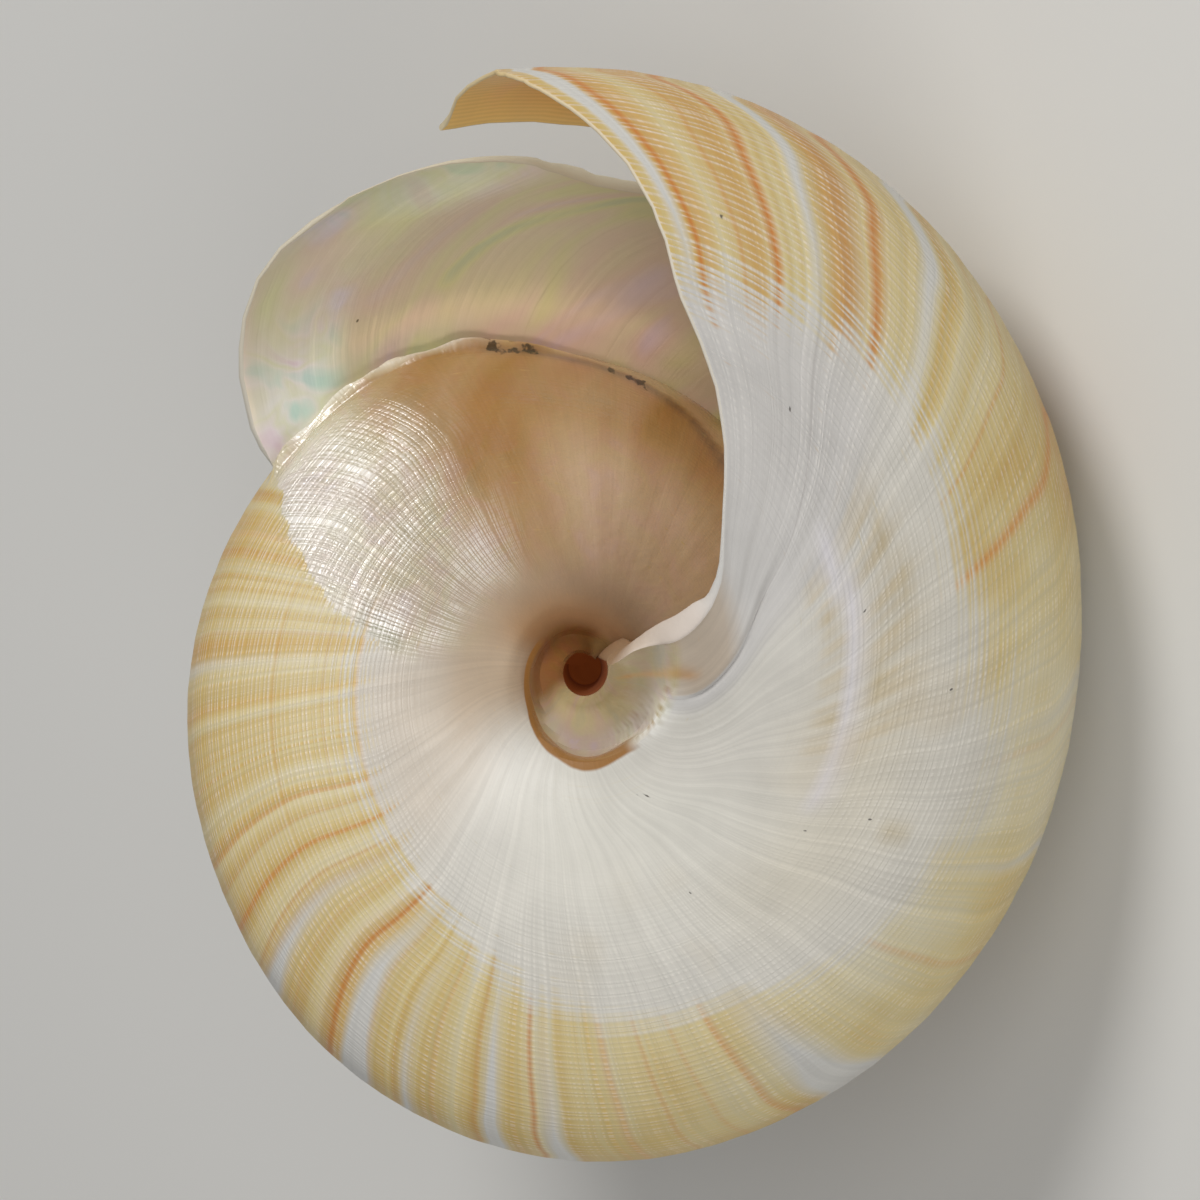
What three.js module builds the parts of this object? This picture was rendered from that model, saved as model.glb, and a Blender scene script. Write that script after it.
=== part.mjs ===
// A slit shell: the empty shell of a sea snail that coils to the right, with a long open slit in its lip.
// It grew as one piece, so it is one closed solid: the outside of every whorl, the hollow of the last
// whorl as far as it can be seen into, the slit, and the narrow pit in the middle of its base.
// Units are millimetres. The shell is worked out round its own axis, apex at zero and base towards +Z,
// and is then laid down as it rests on a table, with +Z up and the floor at zero.

import * as THREE from "three";

// Driving dimensions. Angles are degrees of growth; the lip is at LIP_ANGLE and older shell is below it.
const LIP_ANGLE = 459;
const FIRST_ANGLE = LIP_ANGLE - 2320;
const STEPS_PER_TURN = 45;
const STEP = 360 / STEPS_PER_TURN;
const LAST_TURN_DEPTH = 66;
const SECTION_SIZE = 60;
const SIZE_ANGLE = 450;
const DEPTH_GROWTH = 1.92;
const RADIUS_GROWTH = 1.86;
const WALL_SHARE = 0.026;
const LIP_WALL_SHARE = 0.5;
const LIP_THINS_OVER = 25;
const SLIT_LENGTH = 48;
const HOLLOW_LENGTH = 400;
const PIT_LENGTH = 288;
const SUTURE_STEPS = 6;
const COLUMELLA_STEPS = -6;
const LIP_SLANT_FROM = 230;
const OLD_LIP_SLANT = 0.15;
const APEX_HEIGHT = 0.3;
const HOLLOW_END_BULGE = 9;

// How far the widest edge is from the axis, every 30 degrees over the last turn and a third.
const RADIUS_FROM = 60;
const RADIUS_EVERY = 30;
const WIDEST_EDGE = [
  29.6, 32.8, 37.2, 38.5, 40.7, 43.5, 47.7, 50.3, 50.0, 49.5, 50.2, 53.6, 57.9, 60.9, 62.4, 64.0, 66.3,
];

// The cross-section of the whorl, from the suture out to the widest edge, over the base and into the pit.
// out is the distance from the axis as a share of the widest edge, along is the place along the axis as a
// share of the section's size, lag is how far the lip runs ahead of or behind the widest edge, in degrees,
// and wall is the wall's thickness beside the usual one.
const SECTION = [
  { out: 0.535, along: -0.505, lag: 48, wall: 1 },
  { out: 0.63, along: -0.475, lag: 43.5, wall: 1 },
  { out: 0.73, along: -0.415, lag: 37.2, wall: 1 },
  { out: 0.805, along: -0.345, lag: 28.5, wall: 1 },
  { out: 0.845, along: -0.3, lag: 19, wall: 1 },
  { out: 0.885, along: -0.25, lag: 12, wall: 1 },
  { out: 0.925, along: -0.19, lag: 5, wall: 1 },
  { out: 0.975, along: -0.095, lag: 1.5, wall: 1 },
  { out: 1, along: 0, lag: 0, wall: 1 },
  { out: 0.993, along: 0.06, lag: 0, wall: 1 },
  { out: 0.975, along: 0.115, lag: -4, wall: 1 },
  { out: 0.945, along: 0.16, lag: -8, wall: 1 },
  { out: 0.9, along: 0.205, lag: -10.5, wall: 1 },
  { out: 0.82, along: 0.26, lag: -15.5, wall: 1 },
  { out: 0.74, along: 0.298, lag: -19.8, wall: 1 },
  { out: 0.64, along: 0.33, lag: -24.5, wall: 1 },
  { out: 0.54, along: 0.35, lag: -33.5, wall: 1 },
  { out: 0.45, along: 0.358, lag: -42, wall: 1 },
  { out: 0.36, along: 0.355, lag: -52.5, wall: 1 },
  { out: 0.29, along: 0.348, lag: -71, wall: 1.2 },
  { out: 0.235, along: 0.337, lag: -84.5, wall: 1.5 },
  { out: 0.185, along: 0.315, lag: -90, wall: 2 },
  { out: 0.15, along: 0.262, lag: -88, wall: 2.2 },
  { out: 0.105, along: 0.225, lag: -84, wall: 2.4 },
  { out: 0.062, along: 0.195, lag: -80, wall: 2.4 },
  { out: 0.045, along: 0.15, lag: -78, wall: 2 },
  { out: 0.038, along: 0.02, lag: -50, wall: 1.5 },
  { out: 0.034, along: -0.12, lag: -10, wall: 1.2 },
  { out: 0.03, along: -0.26, lag: -60, wall: 1 },
];
const SLIT_TOP = 4;
const SLIT_BOTTOM = 6;
const WIDEST = 8;
const INNER_SUTURE = 9;
const PIT_RIM = 21;
const PIT_EDGE = 25;
const SECTION_END = SECTION.length - 1;
const SPIRE_BLEND = 3;

// Behind the pit's ramp the inner face is the pillar's side, which runs down to the whorl before.
const PILLAR_FROM = 19;
const PILLAR = [
  { out: 0.282, along: 0.322 },
  { out: 0.235, along: 0.302 },
  { out: 0.19, along: 0.262 },
  { out: 0.15, along: 0.205 },
  { out: 0.125, along: 0.14 },
  { out: 0.113, along: 0.06 },
  { out: 0.108, along: -0.02 },
  { out: 0.104, along: -0.1 },
  { out: 0.1, along: -0.2 },
  { out: 0.098, along: -0.3 },
];

// The places of the section that the solid's net uses: the others only bend the curve between them.
const LEFT_OUT = [5, 7, 11, 23];
const NET_PLACES = SECTION.map((_, place) => place).filter((place) => !LEFT_OUT.includes(place));

// How it lies: the side of the base that is lowest, and how far the base is turned up from the floor.
const LOW_SIDE = 12.1;
const BASE_TURNED_UP = 46.1;

const clamp01 = (value) => Math.min(1, Math.max(0, value));
const mix = (from, to, share) => from + (to - from) * share;

function easeInOut(value) {
  const share = clamp01(value);
  return share * share * (3 - 2 * share);
}

// A smooth curve through evenly spaced values, at a place counted in values.
function throughValues(values, place) {
  const last = values.length - 1;
  const held = Math.min(Math.max(place, 0), last);
  const at = Math.min(Math.floor(held), last - 1);
  const share = held - at;
  const here = values[at];
  const next = values[at + 1];
  const before = at > 0 ? values[at - 1] : 2 * here - next;
  const after = at + 2 <= last ? values[at + 2] : 2 * next - here;
  const slope = (next - before) * share;
  const bend = (2 * before - 5 * here + 4 * next - after) * share ** 2;
  const turn = (3 * here - before - 3 * next + after) * share ** 3;
  return 0.5 * (2 * here + slope + bend + turn);
}

const outAt = (place) => throughValues(SECTION.map((s) => s.out), place);
const alongAt = (place) => throughValues(SECTION.map((s) => s.along), place);
const lagAt = (place) => throughValues(SECTION.map((s) => s.lag), place);
const wallAt = (place) => throughValues(SECTION.map((s) => s.wall), place);

const turnsFrom = (angle, start) => (angle - start) / 360;
const depthAt = (angle) => LAST_TURN_DEPTH * DEPTH_GROWTH ** turnsFrom(angle, SIZE_ANGLE);
const sectionSizeAt = (angle) => SECTION_SIZE * DEPTH_GROWTH ** turnsFrom(angle, SIZE_ANGLE);

function widestEdgeAt(angle) {
  if (angle < RADIUS_FROM) return WIDEST_EDGE[0] * RADIUS_GROWTH ** turnsFrom(angle, RADIUS_FROM);
  return throughValues(WIDEST_EDGE, (angle - RADIUS_FROM) / RADIUS_EVERY);
}

// The whorl's section turned round the axis, before it is joined to the whorl before it.
function looseSection(angle, place) {
  return {
    radius: widestEdgeAt(angle) * outAt(place),
    height: depthAt(angle) + sectionSizeAt(angle) * alongAt(place),
  };
}

// The joined section: its two ends are eased onto the whorl that lies one turn further in.
function joinedSection(angle, place) {
  const loose = looseSection(angle, place);
  const start = looseSection(angle, 0);
  const end = looseSection(angle, SECTION_END);
  const widest = looseSection(angle - 360, WIDEST);
  const pitEdge = looseSection(angle - 360, PIT_EDGE);
  const nearStart = 1 - easeInOut(place / SLIT_TOP);
  const nearEnd = easeInOut((place - PIT_EDGE) / (SECTION_END - PIT_EDGE));
  const startMove = (name) => nearStart * (widest[name] - start[name]);
  const endMove = (name) => nearEnd * (pitEdge[name] - end[name]);
  return {
    radius: loose.radius + startMove("radius") + endMove("radius"),
    height: loose.height + startMove("height") + endMove("height"),
  };
}

// How strongly the lip's slant shows in the older shell: growth lines are straighter there.
const slantAt = (growth) =>
  mix(OLD_LIP_SLANT, 1, easeInOut((growth - LIP_SLANT_FROM) / (LIP_ANGLE - LIP_SLANT_FROM)));

// The angle of a point on one growth line, which is where the lip once was.
function angleOn(growth, place) {
  const slant = slantAt(growth);
  if (place <= WIDEST) return growth + Math.max(lagAt(place), 0);
  if (place < PIT_EDGE) return growth + Math.min(slant * lagAt(place), 0);
  const landing = COLUMELLA_STEPS * STEP + OLD_LIP_SLANT * SECTION[PIT_EDGE].lag;
  const share = easeInOut((place - PIT_EDGE) / (SECTION_END - PIT_EDGE));
  return growth + mix(slant * SECTION[PIT_EDGE].lag, landing, share);
}

function outerPoint(growth, place) {
  const angle = angleOn(growth, place);
  const { radius, height } = joinedSection(angle, place);
  const turn = THREE.MathUtils.degToRad(angle);
  return new THREE.Vector3(radius * Math.cos(turn), radius * Math.sin(turn), height);
}

function wallThickness(growth, place) {
  const usual = WALL_SHARE * sectionSizeAt(growth);
  const thinned = mix(LIP_WALL_SHARE, 1, easeInOut((LIP_ANGLE - growth) / LIP_THINS_OVER));
  return usual * thinned * wallAt(place);
}

// A point of the inner face, one wall's thickness behind the outer one.
function offsetPoint(growth, place) {
  const alongGrowth = 0.5;
  const alongSection = 0.05;
  const before = Math.max(place - alongSection, 0);
  const after = Math.min(place + alongSection, SECTION_END);
  const grown = outerPoint(growth + alongGrowth, place).sub(outerPoint(growth - alongGrowth, place));
  const across = outerPoint(growth, after).sub(outerPoint(growth, before));
  const outward = grown.cross(across).normalize();
  return outerPoint(growth, place).addScaledVector(outward, -wallThickness(growth, place));
}

const suturePoint = (growth) => outerPoint(growth - 360 + SUTURE_STEPS * STEP, INNER_SUTURE);
const pillarFoot = (growth) => outerPoint(growth - 360 + COLUMELLA_STEPS * STEP, PIT_RIM);

// The side of the pillar: it starts behind the last of the base and is eased onto its foot.
function pillarPoint(growth, place) {
  const along = (place - PILLAR_FROM) / (SECTION_END - PILLAR_FROM);
  const turned = COLUMELLA_STEPS * STEP + OLD_LIP_SLANT * SECTION[PIT_RIM].lag;
  const slanted = slantAt(growth) * lagAt(Math.min(place, PIT_RIM));
  const angle = growth + mix(slanted, turned, easeInOut(along));
  const turn = THREE.MathUtils.degToRad(angle);
  const radius = widestEdgeAt(angle) * throughValues(PILLAR.map((p) => p.out), place - PILLAR_FROM);
  const rise = sectionSizeAt(angle) * throughValues(PILLAR.map((p) => p.along), place - PILLAR_FROM);
  return new THREE.Vector3(radius * Math.cos(turn), radius * Math.sin(turn), depthAt(angle) + rise);
}

// The inner face, with its two ends eased onto the whorl before.
function innerPoint(growth, place) {
  if (place > PILLAR_FROM) {
    const share = easeInOut((place - PILLAR_FROM) / (SECTION_END - PILLAR_FROM));
    const foot = pillarFoot(growth).sub(pillarPoint(growth, SECTION_END));
    return pillarPoint(growth, place).addScaledVector(foot, share);
  }
  const landing = suturePoint(growth).sub(offsetPoint(growth, 0));
  return offsetPoint(growth, place).addScaledVector(landing, 1 - easeInOut(place / SPIRE_BLEND));
}

// The surface is a net: a row is one growth line, and a place is a point of the section.
const TURN = STEPS_PER_TURN;
const LIP_ROW = (LIP_ANGLE - FIRST_ANGLE) / STEP;
const HOLLOW_ROW = LIP_ROW - HOLLOW_LENGTH / STEP;
const PIT_ROW = LIP_ROW - PIT_LENGTH / STEP;
const SLIT_ROW = LIP_ROW - SLIT_LENGTH / STEP;
const growthOf = (row) => LIP_ANGLE - (LIP_ROW - row) * STEP;
const underSuture = (row) => row - TURN + SUTURE_STEPS;
const underColumella = (row) => row - TURN + COLUMELLA_STEPS;

const corners = [];
const faces = [];
const known = new Map();

function addCorner(point) {
  corners.push(point);
  return corners.length - 1;
}

function cornerOnce(name, makePoint) {
  if (!known.has(name)) known.set(name, addCorner(makePoint()));
  return known.get(name);
}

const apex = () => cornerOnce("apex", () => new THREE.Vector3(0, 0, APEX_HEIGHT));

// A corner of the outer face. The two ends of a row are corners of the whorl that it is joined to.
function outer(row, place) {
  if (place === 0) return underSuture(row) < 0 ? apex() : outer(underSuture(row), WIDEST);
  if (place === SECTION_END) return outer(underColumella(row), PIT_EDGE);
  return cornerOnce("outer " + row + " " + place, () => outerPoint(growthOf(row), place));
}

function inner(row, place) {
  if (place === 0) return outer(underSuture(row), INNER_SUTURE);
  if (place === SECTION_END) return outer(underColumella(row), PIT_RIM);
  return cornerOnce("inner " + row + " " + place, () => innerPoint(growthOf(row), place));
}

// A flat or nearly flat face with its corners in turn, split into triangles.
function addFace(...around) {
  const kept = around.filter((corner, i) => corner !== around[(i + 1) % around.length]);
  for (let i = 2; i < kept.length; i += 1) faces.push([kept[0], kept[i - 1], kept[i]]);
}

function addFan(loop, towardsBase) {
  const middle = new THREE.Vector3(0, 0, towardsBase);
  loop.forEach((corner) => middle.addScaledVector(corners[corner], 1 / loop.length));
  const centre = addCorner(middle);
  loop.forEach((corner, i) => faces.push([centre, corner, loop[(i + 1) % loop.length]]));
}

const rowsFrom = (first, last) => Array.from({ length: last - first }, (_, i) => first + i);
const placesFrom = (first, last) => NET_PLACES.filter((place) => place >= first && place <= last);
const stepsOf = (places) => places.slice(1).map((place, i) => [places[i], place]);
const inSlit = (row, place) => row >= SLIT_ROW && place >= SLIT_TOP && place < SLIT_BOTTOM;

function addOuterFace(row, here, next) {
  if (inSlit(row, here)) return;
  addFace(outer(row, here), outer(row + 1, here), outer(row + 1, next), outer(row, next));
}

function addInnerFace(row, here, next) {
  if (inSlit(row, here)) return;
  addFace(inner(row, next), inner(row + 1, next), inner(row + 1, here), inner(row, here));
}

function addOuterBand(firstRow, firstPlace, lastPlace) {
  for (const row of rowsFrom(firstRow, LIP_ROW))
    for (const [here, next] of stepsOf(placesFrom(firstPlace, lastPlace)))
      addOuterFace(row, here, next);
}

// The base starts on a slanted line, where the hollow of the next whorl begins.
const basePlaces = () => placesFrom(INNER_SUTURE, PIT_RIM);

function baseStart(place) {
  if (place === PIT_RIM) return underColumella(HOLLOW_ROW);
  return underSuture(HOLLOW_ROW) - basePlaces().indexOf(place);
}

function addBase() {
  for (const [here, next] of stepsOf(basePlaces())) {
    const start = baseStart(here);
    for (const row of rowsFrom(baseStart(next), start))
      addFace(outer(start, here), outer(row + 1, next), outer(row, next));
    for (const row of rowsFrom(start, LIP_ROW))
      addOuterFace(row, here, next);
  }
}

function addHollow() {
  for (const row of rowsFrom(HOLLOW_ROW, LIP_ROW))
    for (const [here, next] of stepsOf(placesFrom(0, SECTION_END)))
      addInnerFace(row, here, next);
}

// The broken edge of the wall along a growth line, facing the way that the shell grows.
function addEdge(row, firstPlace, lastPlace) {
  for (const [here, next] of stepsOf(placesFrom(firstPlace, lastPlace)))
    addFace(outer(row, next), outer(row, here), inner(row, here), inner(row, next));
}

// The lip: an edge above the slit and one below it. Its last face also meets the ramp that it lands on.
function addLip() {
  addEdge(LIP_ROW, 0, SLIT_TOP);
  const beforeEnd = SECTION_END - 1;
  addEdge(LIP_ROW, SLIT_BOTTOM, beforeEnd);
  const ramp = placesFrom(PIT_RIM, PIT_EDGE).map((place) => outer(underColumella(LIP_ROW), place));
  addFace(outer(LIP_ROW, beforeEnd), inner(LIP_ROW, beforeEnd), ...ramp);
}

function addSlitWalls() {
  addEdge(SLIT_ROW, SLIT_TOP, SLIT_BOTTOM);
  const [top, bottom] = [SLIT_TOP, SLIT_BOTTOM];
  for (const row of rowsFrom(SLIT_ROW, LIP_ROW)) {
    addFace(outer(row, top), outer(row + 1, top), inner(row + 1, top), inner(row, top));
    addFace(outer(row + 1, bottom), outer(row, bottom), inner(row, bottom), inner(row + 1, bottom));
  }
}

// The first whorl starts as a small fan round the apex.
function closeApex() {
  const firstRow = placesFrom(1, WIDEST).map((place) => outer(0, place));
  for (const [here, next] of stepsOf(firstRow))
    addFace(apex(), here, next);
}

function closeHollow() {
  const section = placesFrom(0, SECTION_END).map((place) => inner(HOLLOW_ROW, place)).reverse();
  const innerWhorl = basePlaces().slice(1, -1).map((place) => outer(baseStart(place), place));
  addFan([...section, ...innerWhorl], HOLLOW_END_BULGE);
}

function closePit() {
  const section = placesFrom(PIT_EDGE, SECTION_END - 1).map((place) => outer(PIT_ROW, place));
  const helix = rowsFrom(underColumella(PIT_ROW), PIT_ROW).map((row) => outer(row, PIT_EDGE));
  addFan([...section, ...helix], 0);
}

function shellGeometry() {
  addOuterBand(0, 0, WIDEST);
  addOuterBand(underSuture(LIP_ROW), WIDEST, INNER_SUTURE);
  addBase();
  addOuterBand(underColumella(LIP_ROW), PIT_RIM, PIT_EDGE);
  addOuterBand(PIT_ROW, PIT_EDGE, SECTION_END);
  addHollow();
  addLip();
  addSlitWalls();
  closeApex();
  closeHollow();
  closePit();
  const geometry = new THREE.BufferGeometry().setFromPoints(corners);
  geometry.setIndex(faces.flat());
  geometry.computeVertexNormals();
  return geometry;
}

const pearlyShell = new THREE.MeshStandardMaterial({ color: "#ecd9b0", roughness: 0.35, metalness: 0 });

function layDown(mesh) {
  const degrees = THREE.MathUtils.degToRad;
  mesh.rotation.set(degrees(90 - BASE_TURNED_UP), 0, degrees(-90 - LOW_SIDE));
  mesh.updateMatrixWorld(true);
  const box = new THREE.Box3().setFromObject(mesh, true);
  const middle = box.getCenter(new THREE.Vector3());
  mesh.position.set(-middle.x, -middle.y, -box.min.z);
}

const shell = new THREE.Mesh(shellGeometry(), pearlyShell);
shell.name = "shell";
layDown(shell);

const part = new THREE.Group();
part.add(shell);

export default part;
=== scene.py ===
# %% [markdown]
# A slit shell is the empty shell of a deep-water sea snail. It coils to the right, and its lip has a long
# open slit, through which the animal breathes out. The outside is a thin satin layer of chalky shell
# with fine spiral threads; the inside is mother of pearl.
#
# The solid that we start from already has the right size, so the model is made in the same frame: metres,
# +Z up, and the shell lying on its side as it rests on a table.

# %% Load the solid that the looks are built on
import math

import bpy
import numpy as np
from mathutils import Matrix, Vector


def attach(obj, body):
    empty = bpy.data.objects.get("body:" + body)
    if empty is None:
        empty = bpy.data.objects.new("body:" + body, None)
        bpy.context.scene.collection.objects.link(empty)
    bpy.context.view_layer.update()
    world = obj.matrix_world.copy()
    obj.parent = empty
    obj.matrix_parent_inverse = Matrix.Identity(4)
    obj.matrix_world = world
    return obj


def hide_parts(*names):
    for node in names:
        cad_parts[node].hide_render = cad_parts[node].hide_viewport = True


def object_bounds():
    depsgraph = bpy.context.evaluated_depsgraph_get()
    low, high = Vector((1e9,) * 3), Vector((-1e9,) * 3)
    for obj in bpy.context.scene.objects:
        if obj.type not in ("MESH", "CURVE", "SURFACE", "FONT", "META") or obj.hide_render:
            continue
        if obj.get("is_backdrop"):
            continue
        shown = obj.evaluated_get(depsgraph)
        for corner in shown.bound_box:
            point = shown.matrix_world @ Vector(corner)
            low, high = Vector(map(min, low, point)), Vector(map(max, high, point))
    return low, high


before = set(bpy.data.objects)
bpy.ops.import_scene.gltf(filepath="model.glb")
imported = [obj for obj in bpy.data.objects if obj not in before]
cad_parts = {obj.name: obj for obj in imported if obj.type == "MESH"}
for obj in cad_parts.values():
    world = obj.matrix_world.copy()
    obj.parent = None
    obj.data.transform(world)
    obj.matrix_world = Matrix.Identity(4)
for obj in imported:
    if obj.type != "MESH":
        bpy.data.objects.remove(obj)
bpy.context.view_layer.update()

# %% [markdown]
# A shell grows at its lip. Each growth line is a place where the lip once was, so the whole surface is a
# net: along one thread the angle of growth runs on, turn after turn, and along the other runs a place on
# the whorl's cross-section, from the suture, out to the widest edge, over the base and into the pit.
# A formula for one point of that net is all that the shape needs, and a pattern that follows growth,
# such as a colour band, can later be written in the same two numbers.
#
# First come two curves: a soft step, and a smooth curve through evenly spaced values.

# %% Soft steps and smooth curves


def soft_step(value):
    share = np.clip(value, 0.0, 1.0)
    return share * share * (3.0 - 2.0 * share)


def mix(start, end, share):
    return start + (end - start) * share


def through_values(values, place):
    values = np.asarray(values, float)
    last = len(values) - 1
    held = np.clip(place, 0, last)
    at = np.minimum(np.floor(held).astype(int), last - 1)
    share = held - at
    here = values[at]
    after = values[at + 1]
    before = np.where(at > 0, values[np.maximum(at - 1, 0)], 2 * here - after)
    beyond = np.where(at + 2 <= last, values[np.minimum(at + 2, last)], 2 * after - here)
    slope = (after - before) * share
    bend = (2 * before - 5 * here + 4 * after - beyond) * share**2
    turn = (3 * here - before - 3 * after + beyond) * share**3
    return 0.5 * (2 * here + slope + bend + turn)


print("halfway through 0, 1, 4:", through_values([0, 1, 4], 1.5))

# %% [markdown]
# The driving dimensions are those of the solid, in millimetres and degrees of growth. The whorl keeps its
# section while it grows by a fixed share each turn, so a few numbers fix every whorl up to the tip.
# The section is given by 29 stations: how far out, how far along the axis, how far the lip runs ahead
# there, and how thick the wall is beside the usual.

# %% How the shell grows
LIP_ANGLE = 459.0
LAST_TURN_DEPTH = 66.0
SECTION_SIZE = 60.0
SIZE_ANGLE = 450.0
DEPTH_GROWTH = 1.92
RADIUS_GROWTH = 1.86
RADIUS_FROM = 60.0
RADIUS_EVERY = 30.0
WIDEST_EDGE = [29.6, 32.8, 37.2, 38.5, 40.7, 43.5, 47.7, 50.3, 50.0, 49.5, 50.2, 53.6, 57.9, 60.9]
WIDEST_EDGE += [62.4, 64.0, 66.3]

SECTION_OUT = [0.535, 0.63, 0.73, 0.805, 0.845, 0.885, 0.925, 0.975, 1, 0.993]
SECTION_OUT += [0.975, 0.945, 0.9, 0.82, 0.74, 0.64, 0.54, 0.45, 0.36, 0.29]
SECTION_OUT += [0.235, 0.185, 0.15, 0.105, 0.062, 0.045, 0.038, 0.034, 0.03]
SECTION_ALONG = [-0.505, -0.475, -0.415, -0.345, -0.3, -0.25, -0.19, -0.095, 0, 0.06]
SECTION_ALONG += [0.115, 0.16, 0.205, 0.26, 0.298, 0.33, 0.35, 0.358, 0.355, 0.348]
SECTION_ALONG += [0.337, 0.315, 0.262, 0.225, 0.195, 0.15, 0.02, -0.12, -0.26]
SECTION_LAG = [48, 43.5, 37.2, 28.5, 19, 12, 5, 1.5, 0, 0]
SECTION_LAG += [-4, -8, -10.5, -15.5, -19.8, -24.5, -33.5, -42, -52.5, -71]
SECTION_LAG += [-84.5, -90, -88, -84, -80, -78, -50, -10, -60]
SECTION_WALL = [1] * 19 + [1.2, 1.5, 2, 2.2, 2.4, 2.4, 2, 1.5, 1.2, 1]
SLIT_TOP = 4
SLIT_BOTTOM = 6
WIDEST = 8
INNER_SUTURE = 9
PIT_RIM = 21
PIT_EDGE = 25
SECTION_END = 28


def turns_from(angle, start):
    return (angle - start) / 360.0


def depth_at(angle):
    return LAST_TURN_DEPTH * DEPTH_GROWTH ** turns_from(angle, SIZE_ANGLE)


def section_size_at(angle):
    return SECTION_SIZE * DEPTH_GROWTH ** turns_from(angle, SIZE_ANGLE)


def widest_edge_at(angle):
    young = WIDEST_EDGE[0] * RADIUS_GROWTH ** turns_from(angle, RADIUS_FROM)
    grown = through_values(WIDEST_EDGE, (angle - RADIUS_FROM) / RADIUS_EVERY)
    return np.where(angle < RADIUS_FROM, young, grown)


print("widest edge at the lip:", round(float(widest_edge_at(LIP_ANGLE)), 1), "mm from the axis")

# %% [markdown]
# A whorl leans on the one before it: its two ends are eased onto that whorl's widest edge and onto the
# edge of its pit. The growth lines slant too, because the lip runs ahead near the suture and stays
# behind in the pit. The older shell's lines are straighter than the last ones.

# %% One point of the outside
SUTURE_TURN = 48.0
COLUMELLA_TURN = -48.0
LIP_SLANT_FROM = 230.0
OLD_LIP_SLANT = 0.15


def loose_section(angle, place):
    radius = widest_edge_at(angle) * through_values(SECTION_OUT, place)
    height = depth_at(angle) + section_size_at(angle) * through_values(SECTION_ALONG, place)
    return np.stack(np.broadcast_arrays(radius, height))


def joined_section(angle, place):
    before = angle - 360.0
    to_widest = loose_section(before, WIDEST) - loose_section(angle, 0)
    to_pit_edge = loose_section(before, PIT_EDGE) - loose_section(angle, SECTION_END)
    near_start = 1.0 - soft_step(place / SLIT_TOP)
    near_end = soft_step((place - PIT_EDGE) / (SECTION_END - PIT_EDGE))
    return loose_section(angle, place) + near_start * to_widest + near_end * to_pit_edge


def slant_at(growth):
    return mix(OLD_LIP_SLANT, 1.0, soft_step((growth - LIP_SLANT_FROM) / (LIP_ANGLE - LIP_SLANT_FROM)))


def angle_on(growth, place):
    lag = through_values(SECTION_LAG, place)
    slant = slant_at(growth)
    ahead = growth + np.maximum(lag, 0.0)
    behind = growth + np.minimum(slant * lag, 0.0)
    landing = COLUMELLA_TURN + OLD_LIP_SLANT * SECTION_LAG[PIT_EDGE]
    share = soft_step((place - PIT_EDGE) / (SECTION_END - PIT_EDGE))
    in_pit = growth + mix(slant * SECTION_LAG[PIT_EDGE], landing, share)
    return np.where(place <= WIDEST, ahead, np.where(place < PIT_EDGE, behind, in_pit))


def turned(angle, radius, height):
    turn = np.radians(angle)
    return np.stack(np.broadcast_arrays(radius * np.cos(turn), radius * np.sin(turn), height), axis=-1)


def outer_point(growth, place):
    angle = angle_on(growth, place)
    radius, height = joined_section(angle, place)
    return turned(angle, radius, height)


print("lip at its widest edge:", np.round(outer_point(LIP_ANGLE, 8.0), 1))

# %% [markdown]
# The inside lies one wall's thickness behind the outside. The wall is thin, and thinner still at the
# lip, where it was only just laid down. Near the pillar the inside follows the pillar's own side, down to
# the whorl before, and near the suture it is eased onto the whorl that it leans on.

# %% One point of the inside
WALL_SHARE = 0.026
LIP_WALL_SHARE = 0.28
LIP_THINS_OVER = 25.0
SPIRE_BLEND = 3.0
PILLAR_FROM = 19
PILLAR_OUT = [0.282, 0.235, 0.19, 0.15, 0.125, 0.113, 0.108, 0.104, 0.1, 0.098]
PILLAR_ALONG = [0.322, 0.302, 0.262, 0.205, 0.14, 0.06, -0.02, -0.1, -0.2, -0.3]


def outward_at(growth, place, reach=0.5, across=0.05):
    grown = outer_point(growth + reach, place) - outer_point(growth - reach, place)
    before = np.maximum(place - across, 0.0)
    after = np.minimum(place + across, float(SECTION_END))
    normal = np.cross(grown, outer_point(growth, after) - outer_point(growth, before))
    return normal / np.linalg.norm(normal, axis=-1, keepdims=True)


def wall_thickness(growth, place):
    usual = WALL_SHARE * section_size_at(growth)
    thinned = mix(LIP_WALL_SHARE, 1.0, soft_step((LIP_ANGLE - growth) / LIP_THINS_OVER))
    thinned = mix(thinned, 1.0, soft_step((place - 18.0) / 2.5))
    return usual * thinned * through_values(SECTION_WALL, place)


def behind_outside(growth, place):
    depth = wall_thickness(growth, place)[..., None]
    return outer_point(growth, place) - depth * outward_at(growth, place)


def pillar_point(growth, place):
    along = (place - PILLAR_FROM) / (SECTION_END - PILLAR_FROM)
    foot_turn = COLUMELLA_TURN + OLD_LIP_SLANT * SECTION_LAG[PIT_RIM]
    slanted = slant_at(growth) * through_values(SECTION_LAG, np.minimum(place, PIT_RIM))
    angle = growth + mix(slanted, foot_turn, soft_step(along))
    radius = widest_edge_at(angle) * through_values(PILLAR_OUT, place - PILLAR_FROM)
    rise = section_size_at(angle) * through_values(PILLAR_ALONG, place - PILLAR_FROM)
    return turned(angle, radius, depth_at(angle) + rise)


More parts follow.
